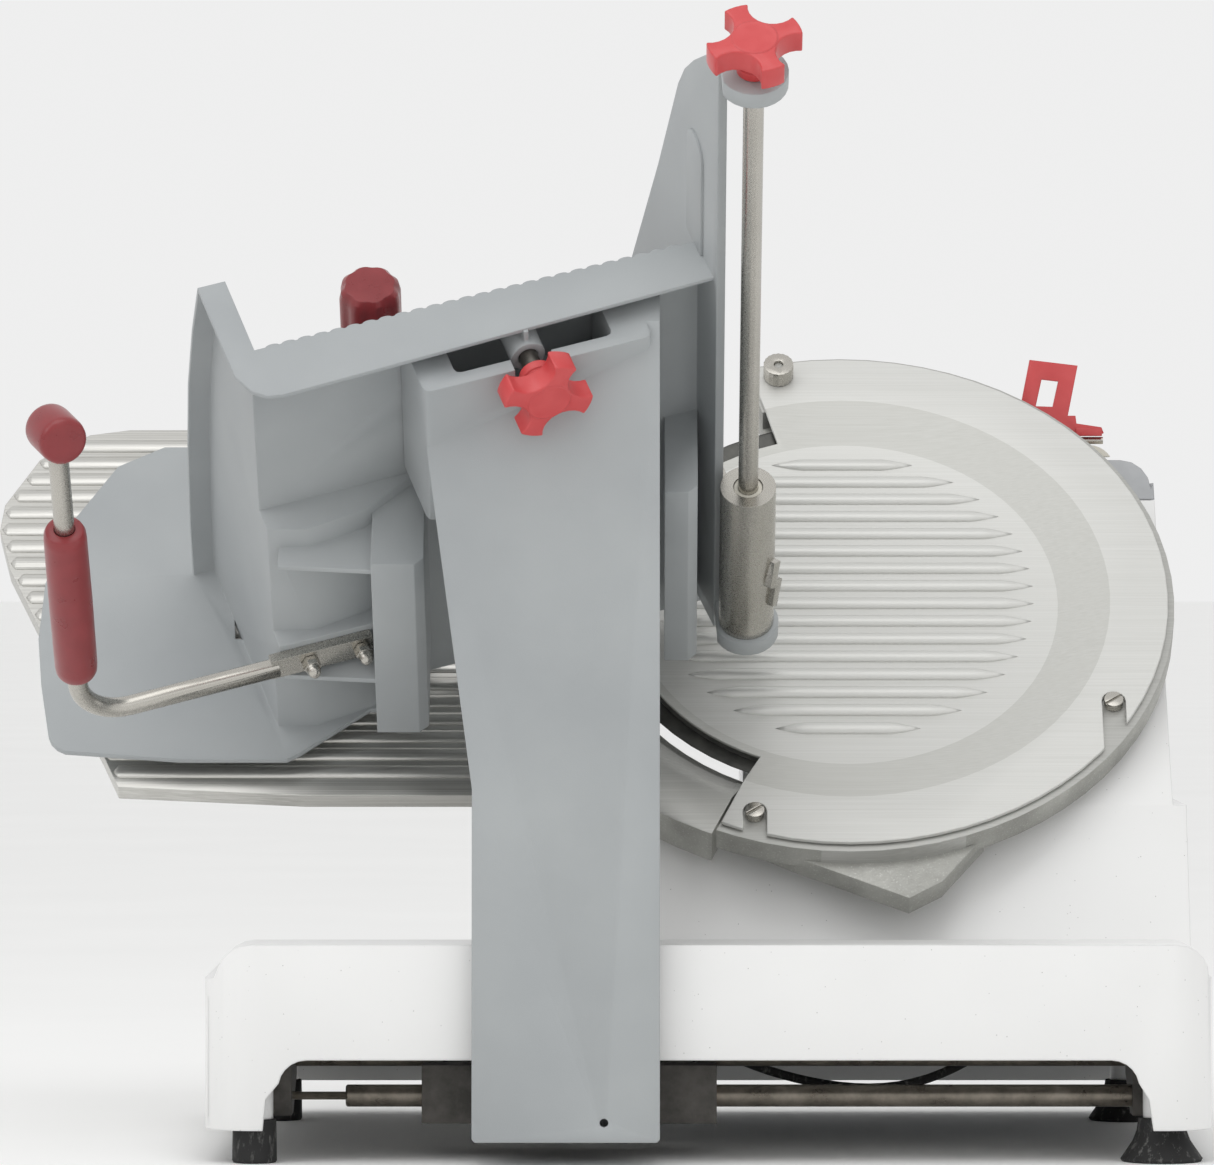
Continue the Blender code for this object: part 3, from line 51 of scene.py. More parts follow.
# ---- Frames of the machine ----------------------------------------------------------------
def axes(origin, first, third):
    """A frame's matrix from its origin, its X and its Z."""
    second = third.cross(first)
    columns = Matrix((first, second, third)).transposed().to_4x4()
    return Matrix.Translation(origin) @ columns


# KNIFE: origin at the middle of the knife's face, Z along its shaft, X along the machine.
# TRAY: tilted with it and turned by the tray's fall, X across its floor, Y square to the floor.
knife_normal = Vector(JOINTS["knife_spin"]["axis"])
KNIFE = axes(Vector(JOINTS["knife_spin"]["pos_m"]), Vector((1, 0, 0)), knife_normal)
TRAY_FALL = math.radians(19)
tray_turn = KNIFE.to_3x3().to_4x4() @ Matrix.Rotation(TRAY_FALL, 4, "Z")
ROD_IN_TRAY = Vector((0.311, -0.0616, 0.080))
tray_origin = Vector(JOINTS["pusher_swing"]["pos_m"]) - tray_turn.to_3x3() @ ROD_IN_TRAY
TRAY = Matrix.Translation(tray_origin) @ tray_turn
TO_UNDERSIDE = Matrix.Rotation(math.pi / 2, 4, "X")
# Where the rod bracket's lug ends along the rod, and where its wall stands across the tray.
LUG_TOP, SPINE = 0.5545, 0.2955


# ---- Camera, light and floor --------------------------------------------------------------
def place_camera():
    """Level, in front of the carriage arm, from across a room."""
    aside, depth, height = -0.132, 5.070, 0.393
    lens = bpy.data.cameras.new("camera")
    lens.lens, lens.sensor_width = 222.4, 36
    lens.shift_x, lens.shift_y = -0.0354, -0.0284
    lens.clip_end = 120
    camera = bpy.data.objects.new("camera", lens)
    scene.collection.objects.link(camera)
    knife_x, knife_y, _ = JOINTS["knife_spin"]["pos_m"]
    camera.location = (knife_x + aside, knife_y - depth, height)
    camera.rotation_euler = (math.pi / 2, 0, 0)
    scene.camera = camera


place_camera()


def linear(channel):
    return channel / 12.92 if channel <= 0.04045 else ((channel + 0.055) / 1.055) ** 2.4


def colour(code):
    """An sRGB hex colour, made linear."""
    return (*(linear(int(code[at : at + 2], 16) / 255) for at in (0, 2, 4)), 1)


def area_light(name, place, aim, size, power):
    lamp = bpy.data.lights.new(name, "AREA")
    lamp.shape, lamp.size, lamp.size_y = "RECTANGLE", *size
    lamp.energy = power
    made = bpy.data.objects.new(name, lamp)
    scene.collection.objects.link(made)
    made.location = place
    made.rotation_euler = (Vector(aim) - Vector(place)).to_track_quat("-Z", "Y").to_euler()


def light_the_studio():
    """A white tent: a wide lamp overhead, a softer one from the left and a weak one by the camera."""
    area_light("overhead", (-0.3, -1.3, 2.4), (0, -0.1, 0.3), (2.4, 1.6), 15)
    area_light("left", (-2.4, -1.9, 1.8), (0, -0.1, 0.35), (1.4, 1.4), 9)
    area_light("front", (1.6, -3.4, 1.2), (0, 0, 0.35), (1.6, 1.4), 3)
    world = bpy.data.worlds.new("studio")
    scene.world = world
    world.use_nodes = True
    world.node_tree.nodes["Background"].inputs["Color"].default_value = colour("FFFFFF")
    world.node_tree.nodes["Background"].inputs["Strength"].default_value = 0.86


light_the_studio()


# ---- Materials ----------------------------------------------------------------------------
def add(tree, kind, settings=(), links=()):
    """Adds a node: settings by property or input name, links as (input, output socket)."""
    made = tree.nodes.new(kind)
    for name, value in dict(settings).items():
        if name in made.bl_rna.properties:
            setattr(made, name, value)
        else:
            made.inputs[name].default_value = value
    for name, socket in dict(links).items():
        tree.links.new(socket, made.inputs[name])
    return made


def surface(name, base, roughness, metallic=0.0, **inputs):
    """A named material's tree, its shader and its Object coordinates."""
    made = bpy.data.materials.new(name)
    made.use_nodes = True
    tree = made.node_tree
    shader = tree.nodes["Principled BSDF"]
    shader.inputs["Base Color"].default_value = colour(base)
    shader.inputs["Roughness"].default_value = roughness
    shader.inputs["Metallic"].default_value = metallic
    for key, value in inputs.items():
        shader.inputs[key.replace("_", " ")].default_value = value
    place = add(tree, "ShaderNodeTexCoord").outputs["Object"]
    return made, tree, shader, place


def stretched(tree, place, scale, turn=(0, 0, 0)):
    """Coordinates turned and then stretched, in features a metre."""
    turned_place = add(tree, "ShaderNodeMapping", {"Rotation": turn}, {"Vector": place})
    return add(tree, "ShaderNodeMapping", {"Scale": scale}, {"Vector": turned_place.outputs[0]}).outputs[0]


def noise(tree, place, scale=1.0, detail=3.0, rough=0.5):
    settings = {"Scale": scale, "Detail": detail, "Roughness": rough}
    return add(tree, "ShaderNodeTexNoise", settings, {"Vector": place}).outputs["Fac"]


def spread(tree, value, low, high, to_low=0.0, to_high=1.0):
    """A value's stretch from low to high, mapped to another stretch and held there."""
    settings = {"From Min": low, "From Max": high, "To Min": to_low, "To Max": to_high}
    return add(tree, "ShaderNodeMapRange", settings, {"Value": value}).outputs[0]


def blend(tree, share, first, second):
    """Two colours mixed by a value; each is a hex code or a socket."""
    made = add(tree, "ShaderNodeMix", {"data_type": "RGBA"})
    for socket, given in ((made.inputs[6], first), (made.inputs[7], second)):
        if isinstance(given, str):
            socket.default_value = colour(given)
        else:
            tree.links.new(given, socket)
    tree.links.new(share, made.inputs[0])
    return made.outputs[2]


def relief(tree, shader, height, depth, edge=0.0):
    """Bump of a depth in metres, over edges that a bevel softens."""
    bump = add(tree, "ShaderNodeBump", {"Distance": depth, "Strength": 1.0}, {"Height": height})
    if edge:
        soft = add(tree, "ShaderNodeBevel", {"samples": 4, "Radius": edge})
        tree.links.new(soft.outputs[0], bump.inputs["Normal"])
    tree.links.new(bump.outputs[0], shader.inputs["Normal"])


def white_enamel():
    """Fired enamel over a casting: glossy white, a faint orange peel and fine grey specks."""
    made, tree, shader, place = surface(
        "white_speckled_enamel", "EBEBEA", 0.32, Coat_Weight=0.25, Coat_Roughness=0.15
    )
    grit = add(tree, "ShaderNodeTexVoronoi", {"Scale": 210.0, "Randomness": 1.0}, {"Vector": place})
    chance = noise(tree, place, 95.0, 2.0)
    small = spread(tree, grit.outputs["Distance"], 0.085, 0.050)
    some = spread(tree, chance, 0.50, 0.56)
    specks = add(tree, "ShaderNodeMath", {"operation": "MULTIPLY"}, {0: small, 1: some}).outputs[0]
    cloud = spread(tree, noise(tree, place, 6.0, 2.0), 0.3, 0.7)
    ground = blend(tree, cloud, "E6E6E5", "ECECEB")
    tree.links.new(blend(tree, specks, ground, "A9A9A7"), shader.inputs["Base Color"])
    relief(tree, shader, noise(tree, place, 320.0, 2.0), 0.00004, 0.0020)
    return made


def grey_coating():
    """Matte coating on an aluminium casting: mid grey, a fine sandy grain and faint flow marks."""
    made, tree, shader, place = surface("matte_grey_coated_casting", "A3A7A8", 0.50)
    cloud = spread(tree, noise(tree, place, 9.0, 3.0), 0.3, 0.7)
    grain = noise(tree, place, 1500.0, 2.0)
    ground = blend(tree, cloud, "9DA1A3", "A8ACAD")
    fleck = spread(tree, grain, 0.66, 0.80, 0.0, 0.35)
    tree.links.new(blend(tree, fleck, ground, "B9BDBE"), shader.inputs["Base Color"])
    tree.links.new(spread(tree, cloud, 0.0, 1.0, 0.44, 0.54), shader.inputs["Roughness"])
    relief(tree, shader, grain, 0.00007, 0.0010)
    return made


def satin_cover(name, dark, light, middle):
    """Anodised aluminium plate: near white, with fine straight brushing along the machine."""
    made, tree, shader, place = surface(name, dark, 0.42, 0.45)
    streaks = noise(tree, stretched(tree, place, (7, 900, 900)), 1.0, 4.0, 0.6)
    broad = noise(tree, stretched(tree, place, (3, 60, 60)), 1.0, 3.0)
    tone = blend(tree, spread(tree, streaks, 0.3, 0.7), dark, light)
    share = spread(tree, broad, 0.3, 0.7, 0.0, 0.4)
    tree.links.new(blend(tree, share, tone, middle), shader.inputs["Base Color"])
    tree.links.new(spread(tree, streaks, 0.2, 0.8, 0.38, 0.50), shader.inputs["Roughness"])
    relief(tree, shader, streaks, 0.00002, 0.0006)
    return made


def brushed_gauge():
    """Extruded aluminium, brushed along its flutes."""
    made, tree, shader, place = surface("brushed_fluted_aluminium", "C9C8C3", 0.34, 0.9)
    streaks = noise(tree, stretched(tree, place, (5, 1100, 1100)), 1.0, 4.0, 0.6)
    tone = blend(tree, spread(tree, streaks, 0.3, 0.7), "B9B8B3", "DAD9D5")
    tree.links.new(tone, shader.inputs["Base Color"])
    tree.links.new(spread(tree, streaks, 0.2, 0.8, 0.28, 0.42), shader.inputs["Roughness"])
    relief(tree, shader, streaks, 0.00002, 0.0006)
    return made


def cast_aluminium():
    """Sand-cast aluminium, tumbled: dull grey with a sparkling open grain."""
    made, tree, shader, place = surface("tumbled_cast_aluminium", "ABABA6", 0.50, 0.85)
    grain = noise(tree, place, 700.0, 3.0, 0.65)
    cloud = noise(tree, place, 30.0, 3.0)
    tone = blend(tree, spread(tree, cloud, 0.3, 0.7), "989893", "B4B4AF")
    sparkle = spread(tree, grain, 0.6, 0.75, 0.0, 0.7)
    tree.links.new(blend(tree, sparkle, tone, "D2D2CE"), shader.inputs["Base Color"])
    tree.links.new(spread(tree, grain, 0.3, 0.7, 0.58, 0.38), shader.inputs["Roughness"])
    relief(tree, shader, grain, 0.00018, 0.0008)
    return made


def ground_steel():
    """Stainless bar, centreless ground: bright, with hair-fine marks round it."""
    made, tree, shader, place = surface("ground_stainless_steel", "BDB9B1", 0.27, 1.0)
    marks = noise(tree, place, 1100.0, 2.0)
    cloud = noise(tree, place, 18.0, 2.0)
    tone = blend(tree, spread(tree, cloud, 0.3, 0.7), "B5B2AB", "C0BDB6")
    tree.links.new(tone, shader.inputs["Base Color"])
    tree.links.new(spread(tree, marks, 0.3, 0.7, 0.24, 0.31), shader.inputs["Roughness"])
    relief(tree, shader, marks, 0.000002, 0.0004)
    return made


def dull_steel(name, dark, light, rough):
    """Bare steel and castings under the machine: brownish grey with a film of grease and dust."""
    made, tree, shader, place = surface(name, dark, rough, 0.75)
    cloud = noise(tree, place, 60.0, 4.0, 0.6)
    tree.links.new(blend(tree, spread(tree, cloud, 0.35, 0.7), dark, light), shader.inputs["Base Color"])
    tree.links.new(spread(tree, cloud, 0.3, 0.7, rough - 0.06, rough + 0.10), shader.inputs["Roughness"])
    relief(tree, shader, cloud, 0.00006, 0.0006)
    return made


def knife_steel():
    """Polished tool steel, finely turned."""
    made, tree, shader, place = surface("polished_tool_steel", "CFCFCD", 0.14, 1.0)
    marks = noise(tree, place, 500.0, 3.0)
    tree.links.new(spread(tree, marks, 0.3, 0.7, 0.12, 0.20), shader.inputs["Roughness"])
    relief(tree, shader, marks, 0.000006)
    return made


def moulded(name, dark, light, rough, edge=0.0012, coat=0.15):
    """Moulded plastic: even colour, a soft shine and a barely uneven skin."""
    made, tree, shader, place = surface(name, dark, rough, Coat_Weight=coat, Coat_Roughness=0.25)
    cloud = noise(tree, place, 70.0, 3.0)
    tree.links.new(blend(tree, spread(tree, cloud, 0.3, 0.7), dark, light), shader.inputs["Base Color"])
    tree.links.new(spread(tree, cloud, 0.3, 0.7, rough - 0.04, rough + 0.06), shader.inputs["Roughness"])
    relief(tree, shader, noise(tree, place, 900.0, 2.0), 0.00002, edge)
    return made


def black_rubber():
    """Moulded black rubber with pale dust in its skin."""
    made, tree, shader, place = surface("dusty_black_rubber", "242424", 0.75)
    dust = noise(tree, stretched(tree, place, (260, 260, 70)), 1.0, 4.0, 0.7)
    tone = blend(tree, spread(tree, dust, 0.55, 0.75), "1E1E1E", "6E6D6B")
    tree.links.new(tone, shader.inputs["Base Color"])
    relief(tree, shader, dust, 0.0001, 0.0006)
    return made


def bronze():
    """Oil-filled sintered bronze: brown and finely pitted."""
    made, tree, shader, place = surface("sintered_bronze", "A8763C", 0.38, 1.0)
    pits = noise(tree, place, 1400.0, 2.0)
    tone = blend(tree, spread(tree, pits, 0.3, 0.7), "8C6030", "B8864A")
    tree.links.new(tone, shader.inputs["Base Color"])
    relief(tree, shader, pits, 0.00005, 0.0003)
    return made


FINISH = {
    "white_enamel": white_enamel(),
    "grey_casting": grey_coating(),
    "cast_aluminium": cast_aluminium(),
    "satin_aluminium": satin_cover("satin_anodised_cover", "CDCDC9", "D9D9D6", "D3D3CF"),
    # The cone's finish is the cover's, made darker: painted shade for the sloping ring, which has the same
    # real colour as the rest of the cover.
    "painted_shade_cone": satin_cover("satin_anodised_cone_painted_shade", "C0C0BB", "CCCCC8", "C6C6C1"),
    "burnished_edge": dull_steel("burnished_knife_edge", "4C4C4A", "63635F", 0.35),
    "machined_rim": satin_cover("machined_casting", "A9A9A5", "BDBDB9", "B3B3AF"),
    "brushed_gauge": brushed_gauge(),
    "knife_steel": knife_steel(),
    "stainless_steel": ground_steel(),
    "dark_steel": dull_steel("dark_turned_steel", "57544F", "7C7973", 0.34),
    "greasy_steel": dull_steel("greasy_bar_steel", "6B655C", "938C81", 0.30),
    "dusty_casting": dull_steel("dusty_dark_casting", "4A4845", "6C6965", 0.55),
    "signal_red": moulded("moulded_red_plastic", "C43E40", "CB4A4B", 0.34),
    "burgundy": moulded("moulded_burgundy_plastic", "7F2529", "8A2C30", 0.30),
    "black_rubber": black_rubber(),
    "black_plastic": moulded("moulded_black_plastic", "1F1F1F", "2A2A2A", 0.45),
    "bronze": bronze(),
    "grey_plastic": moulded("moulded_grey_plastic", "A3A5A7", "ABADAF", 0.45, 0.002),
    "pale_plastic": moulded("moulded_cream_plastic", "D9D5C8", "E0DCD0", 0.45),
    "green_plastic": moulded("moulded_green_plastic", "2F6E42", "37794A", 0.35),
    "zinc_plate": dull_steel("zinc_coated_sheet", "A7AAAD", "BCBFC1", 0.38),
}


# ---- Making pieces ------------------------------------------------------------------------
def finish_piece(name, bm, look, body, replaced=(), smooth=32):
    """A piece from a mesh in the machine's frame: it rides on a body and stands for CAD nodes."""
    mesh = bpy.data.meshes.new(name)
    bm.to_mesh(mesh)
    bm.free()
    made = bpy.data.objects.new(name, mesh)
    scene.collection.objects.link(made)
    mesh.materials.append(FINISH[look])
    mesh.shade_smooth()
    mesh.set_sharp_from_angle(angle=math.radians(smooth))
    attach(made, body)
    if replaced:
        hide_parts(*replaced)
    return made


def tidy_mesh(bm):
    """Merges what meets and turns every face outwards."""
    bmesh.ops.remove_doubles(bm, verts=bm.verts, dist=1e-5)
    bmesh.ops.recalc_face_normals(bm, faces=bm.faces)


def round_edges(bm, edge, segments, sharp):
    """Rounds the edges that turn by more than an angle in degrees."""
    turn = math.radians(sharp)
    edges = [e for e in bm.edges if len(e.link_faces) == 2 and e.calc_face_angle(0) > turn]
    bmesh.ops.bevel(
        bm, geom=edges, offset=edge, offset_type="OFFSET", segments=segments, profile=0.5,
        affect="EDGES", clamp_overlap=True, material=-1,
    )


def refined(node, look, edge=0.0, segments=2, sharp=30, shape=None, zone=None, zone_look=None):
    """A CAD node's shape with its flat faces whole and its edges rounded.

    shape moves its points first; a zone of it may have its own look.
    """
    weld, flat = 2e-5, math.radians(0.8)
    bm = bmesh.new()
    bm.from_mesh(frame["nodes"][node].data)
    if shape:
        for vert in bm.verts:
            vert.co = shape(vert.co)
    bmesh.ops.remove_doubles(bm, verts=bm.verts, dist=weld)
    bmesh.ops.dissolve_degenerate(bm, edges=bm.edges, dist=weld)
    bmesh.ops.dissolve_limit(bm, angle_limit=flat, verts=bm.verts, edges=bm.edges)
    if edge:
        round_edges(bm, edge, segments, sharp)
    if zone:
        for face in bm.faces:
            face.material_index = int(zone(face.calc_center_median()))
    made = finish_piece("fine_" + node, bm, look, BODY_OF[node], (node,))
    if zone:
        made.data.materials.append(FINISH[zone_look])
    return made


def turned(profile, matrix, steps=48):
    """A solid turned about a frame's Z from an outline of (radius, height)."""
    bm = bmesh.new()
    corners = [bm.verts.new((radius, 0, height)) for radius, height in profile]
    edges = [bm.edges.new(pair) for pair in zip(corners, corners[1:])]
    if profile[0][0] > 0 or profile[-1][0] > 0:
        edges.append(bm.edges.new((corners[-1], corners[0])))
    bmesh.ops.spin(
        bm, geom=corners + edges, axis=(0, 0, 1), cent=(0, 0, 0), steps=steps, angle=math.tau,
        use_merge=True,
    )
    tidy_mesh(bm)
    bm.transform(matrix)
    return bm


def raised(outline, low, high, matrix, edge=0.0, segments=2, sharp=30):
    """An outline raised along a frame's Z, with its edges rounded."""
    bm = bmesh.new()
    face = bm.faces.new([bm.verts.new((x, y, low)) for x, y in outline])
    grown = bmesh.ops.extrude_face_region(bm, geom=[face], use_keep_orig=True)
    top = [item for item in grown["geom"] if isinstance(item, bmesh.types.BMVert)]
    bmesh.ops.translate(bm, verts=top, vec=(0, 0, high - low))
    tidy_mesh(bm)
    if edge:
        round_edges(bm, edge, segments, sharp)
    bm.transform(matrix)
    return bm


def arc(centre, radius, start, end, steps):
    angles = [math.radians(start + (end - start) * at / steps) for at in range(steps + 1)]
    return [(centre[0] + radius * math.cos(a), centre[1] + radius * math.sin(a)) for a in angles]


def joined(parts):
    """Several meshes as one."""
    whole = bmesh.new()
    for part in parts:
        mesh = bpy.data.meshes.new("part")
        part.to_mesh(mesh)
        part.free()
        whole.from_mesh(mesh)
        bpy.data.meshes.remove(mesh)
    return whole


def spindle(left, right, half_width, height, taper, matrix):
    """A long low ridge along X with a pointed tip at each end, half sunk in what it stands on."""
    steps = [(0.0, 0.0), (0.35, 0.45), (0.70, 0.82), (1.0, 1.0)]
    profile = [(half_width * share, left + taper * along) for along, share in steps]
    profile += [(half_width * share, right - taper * along) for along, share in reversed(steps)]
    lay_down = Matrix.Rotation(math.pi / 2, 4, "Y")
    flatten = Matrix.Scale(height / half_width, 4, (0, 0, 1))
    return turned(profile, matrix @ flatten @ lay_down, 16)


# ---- Carried-over shapes ------------------------------------------------------------------
PLAIN = {
    "service_cover": "zinc_plate", "rod_bracket_left": "dusty_casting", "rod_bracket_right": "dusty_casting",
    "slide_rod": "greasy_steel", "guide_rail": "greasy_steel", "bearing_housing": "dusty_casting",
    "knife_bearing_front": "dark_steel", "knife_bearing_rear": "dark_steel", "motor_mount": "zinc_plate",
    "motor": "dusty_casting", "drive_belt": "black_rubber", "slice_deflector": "zinc_plate",
    "gauge_guide": "cast_aluminium", "switch_panel": "black_plastic", "cable_gland": "black_plastic",
    "sharpener_body": "pale_plastic", "sharpener_pin": "stainless_steel", "wiring_loom": "black_rubber",
    "carriage_slide_block": "dusty_casting", "slide_bush_left": "bronze", "slide_bush_right": "bronze",
    "lower_knob_stud": "dark_steel", "handle_rod": "stainless_steel", "pusher_rod": "stainless_steel",
    "guide_roller": "black_plastic", "knife_shaft": "dark_steel",
    "knife_pulley": "cast_aluminium", "motor_pulley": "dark_steel", "gauge_slide_bar": "stainless_steel",
    "index_dial": "black_plastic", "pusher_sleeve": "stainless_steel", "pusher_bush": "pale_plastic",
    "pusher_arm": "stainless_steel", "pusher_plate": "grey_plastic", "start_button": "green_plastic",
    "stop_button": "signal_red", "foot_front_left": "black_rubber", "foot_rear_left": "black_rubber",
    "foot_front_right": "black_rubber", "foot_rear_right": "black_rubber",
}
for node, look in PLAIN.items():
    refined(node, look)

refined("base_housing", "white_enamel", 0.0030, 3)
refined("tower_cap", "grey_plastic", 0.0030, 3)
refined("carriage_arm", "grey_casting", 0.0012, 2)


def lug_corner(place):
    """The bracket's rear corner under the upper knob, drawn in so that the wall ends round there."""
    local = TRAY.inverted() @ place
    if local.z > LUG_TOP - 0.0121 and abs(local.x - SPINE) < 0.002 and local.y > -0.0365:
        local.y = -0.037
        return TRAY @ local
    return place


refined("carriage_tray", "grey_casting", 0.0007, 2, shape=lug_corner)


def on_top(place):
    """The machined rim of the guard: everything near the level of its face."""
    return (KNIFE.inverted() @ place).z > -0.0125


def on_bevel(place):
    """The knife's ground edge, outside its polished face."""
    return (KNIFE.inverted() @ place).xy.length > 0.145


def on_cone(place):
    """The cover's sloping ring, between its dished middle and its rim, which gets a darker copy of the
    cover's finish as painted shade.
    """
    flat_disc, cone_top = 0.144, 0.179
    return flat_disc < (KNIFE.inverted() @ place).xy.length < cone_top


refined("ring_casting", "cast_aluminium", 0.0008, 2, zone=on_top, zone_look="machined_rim")
# The cover's cone zone takes the darker copy of its finish: painted shade.
refined("knife_cover_plate", "satin_aluminium", 0.0004, 1, zone=on_cone, zone_look="painted_shade_cone")
refined("knife", "knife_steel", zone=on_bevel, zone_look="burnished_edge")
refined("cover_nut", "stainless_steel", 0.0004, 2, 20)
for nut in ("handle_nut_outer", "handle_nut_inner"):
    refined(nut, "stainless_steel", 0.0004, 2, 40)
refined("gauge_plate", "brushed_gauge", 0.0010, 2)
refined("sharpener_lever", "signal_red", 0.0006, 2)


# ---- Knobs --------------------------------------------------------------------------------
HUB_RADIUS, HUB_HEIGHT, STAR_HEIGHT, STAR_RADIUS = 0.011, 0.012, 0.016, 0.030


def star_outline():
    """Four flat-tipped arms with hollow flanks."""
    hollow_reach, hollow_radius, tip_half = 0.0301, 0.0153, 15.5
    hollow_centre = (hollow_reach * math.cos(math.pi / 4), hollow_reach * math.sin(math.pi / 4))
    tip = arc((0, 0), STAR_RADIUS, -tip_half, tip_half, 4)
    flank = arc(hollow_centre, hollow_radius, 300, 150, 10)[1:-1]
    points = []
    for arm in range(4):
        spun = Matrix.Rotation(arm * math.pi / 2, 2)
        points += [tuple(spun @ Vector(point)) for point in tip + flank]
    return points


def star_knob(name, node, matrix):
    """Moulded four-armed knob: a grooved hub, a star with soft edges and a shallow round dish on its face."""
    top = HUB_HEIGHT + STAR_HEIGHT
    star = raised(star_outline(), HUB_HEIGHT, top, matrix, 0.0011, 3, 25)
    hub = turned([
        (0.0068, 0.0), (HUB_RADIUS - 0.0006, 0.0), (HUB_RADIUS, 0.0006), (HUB_RADIUS, 0.0062),
        (HUB_RADIUS - 0.0009, 0.0068), (HUB_RADIUS - 0.0009, 0.0074), (HUB_RADIUS, 0.0080),
        (HUB_RADIUS + 0.0004, HUB_HEIGHT + 0.002), (0.0068, HUB_HEIGHT + 0.002),
    ], matrix)
    dish = turned([
        (0, top - 0.0004), (0.0100, top - 0.0001), (0.0128, top + 0.0004), (0.0136, top + 0.0005),
        (0.0142, top + 0.0001), (0.0142, top - 0.0020), (0, top - 0.0020),
    ], matrix)
    finish_piece(name, joined([star, hub, dish]), "signal_red", BODY_OF[node], (node,), 40)


upper = Matrix.Translation((ROD_IN_TRAY.x, ROD_IN_TRAY.y, LUG_TOP + 0.0003))
upper = TRAY @ upper @ Matrix.Rotation(math.radians(4), 4, "Z")
star_knob("star_knob_upper", "upper_knob", upper)
STUD = Vector((0.1678, 0, 0.329))
lower = TRAY @ Matrix.Translation((STUD.x, -0.0570, STUD.z)) @ TO_UNDERSIDE
lower = lower @ Matrix.Rotation(math.radians(-24), 4, "Z")
star_knob("star_knob_lower", "lower_knob", lower)


# ---- Carriage handle, screws and bracket --------------------------------------------------
GRIP = Vector((-0.141, -0.041, 0.0))


def carriage_grip():
    """A moulded sleeve that turns on the handle, fuller in the middle and rounded at its ends."""
    low, high, bore = 0.137, 0.275, 0.0068
    middle = (low + high) / 2
    profile = [
        (bore, low), (0.0100, low), (0.0122, low + 0.0012), (0.0134, low + 0.0040), (0.0138, low + 0.0090),
        (0.0141, middle), (0.0138, high - 0.0090), (0.0134, high - 0.0040), (0.0122, high - 0.0012),
        (0.0100, high), (bore, high),
    ]
    grip = turned(profile, TRAY @ Matrix.Translation(GRIP), 48)
    finish_piece("carriage_grip", grip, "burgundy", BODY_OF["handle_grip"], ("handle_grip",))


def handle_end_cap():
    """A stubby barrel across the end of the handle, with soft rims."""
    profile = [
        (0, -0.0160), (0.0120, -0.0160), (0.0142, -0.0152), (0.0153, -0.0136), (0.0156, -0.0110),
        (0.0156, 0.0100), (0.0151, 0.0128), (0.0138, 0.0146), (0.0118, 0.0155), (0, 0.0155),
    ]
    turn = Matrix.Rotation(math.radians(8), 4, "Z") @ Matrix.Rotation(math.radians(68), 4, "X")
    place = TRAY @ Matrix.Translation((GRIP.x, GRIP.y, 0.363)) @ turn
    barrel = turned(profile, place, 48)
    finish_piece("handle_end_cap", barrel, "burgundy", BODY_OF["handle_cap"], ("handle_cap",))


def slotted_screw(node, angle):
    """Cheese-head screw: two halves of a rounded head with a slot between them, on a plain shank."""
    reach, head, low, floor, top, slot = 0.2015, 0.0064, -0.0040, 0.0001, 0.0018, 0.0008
    turn = math.radians(angle)
    place = KNIFE @ Matrix.Translation((reach * math.cos(turn), reach * math.sin(turn), 0))
    half = math.degrees(math.asin(slot / head))
    halves = [
        raised(arc((0, 0), head, start + half, start + 180 - half, 20), floor - 0.001, top, place, 0.0003, 2)
        for start in (35, 215)
    ]
    shank = [(0, -0.019), (0.0028, -0.019), (0.0028, low), (head, low), (head, floor), (0, floor)]
    whole = joined([*halves, turned(shank, place, 32)])
    finish_piece("slotted_" + node, whole, "stainless_steel", BODY_OF[node], (node,))


def bracket_strip():
    """The raised strip with a round top on the product side of the rod's bracket, and the lug's fillet."""
    across = Matrix(((0, 0, 1, 0), (1, 0, 0, 0), (0, 1, 0, 0), (0, 0, 0, 1)))
    place = TRAY @ Matrix.Translation((SPINE, 0, 0)) @ across
    low, round_level, radius = 0.3495, 0.432, 0.014
    outline = [(-0.014, low), (0.0145, low), (0.0145, round_level)]
    outline += arc((0.0005, round_level), radius, 15, 165, 8)
    outline.append((-0.0135, 0.43))
    strip = raised(outline, -0.0018, 0.001, place, 0.0007, 2)
    lug_low, reach = LUG_TOP - 0.012, 0.011
    corner = (SPINE + 0.006 + reach, lug_low - reach)
    inside, sunk = SPINE + 0.004, lug_low + 0.002
    outline = [(inside, sunk), (inside, lug_low - reach), *arc(corner, reach, 180, 90, 8), (corner[0], sunk)]
    fillet = raised(outline, 0.0298, 0.0402, TRAY @ TO_UNDERSIDE, 0.0006, 1)
    finish_piece("bracket_details", joined([strip, fillet]), "grey_casting", BODY_OF["carriage_tray"], ())


def sleeve_stub():
    """A small folded lozenge on the pusher's sleeve, which the pusher is lifted by."""
    place = TRAY @ Matrix.Translation((ROD_IN_TRAY.x + 0.0105, ROD_IN_TRAY.y - 0.0115, 0.091))
    place = place @ Matrix.Rotation(math.radians(40), 4, "Z") @ TO_UNDERSIDE
    lozenge = [
        (0.0015, -0.0230), (0.0085, -0.0020), (0.0015, 0.0040), (0.0060, 0.0180),
        (-0.0020, 0.0230), (-0.0075, 0.0030), (-0.0010, -0.0030), (-0.0045, -0.0180),
    ]
    stub = raised(lozenge, -0.002, 0.0065, place, 0.0006, 2)
    finish_piece("sleeve_stub", stub, "stainless_steel", BODY_OF["pusher_sleeve"], ())


carriage_grip()
handle_end_cap()
slotted_screw("cover_screw_lower", -108.2)
slotted_screw("cover_screw_right", -28.2)
bracket_strip()
sleeve_stub()


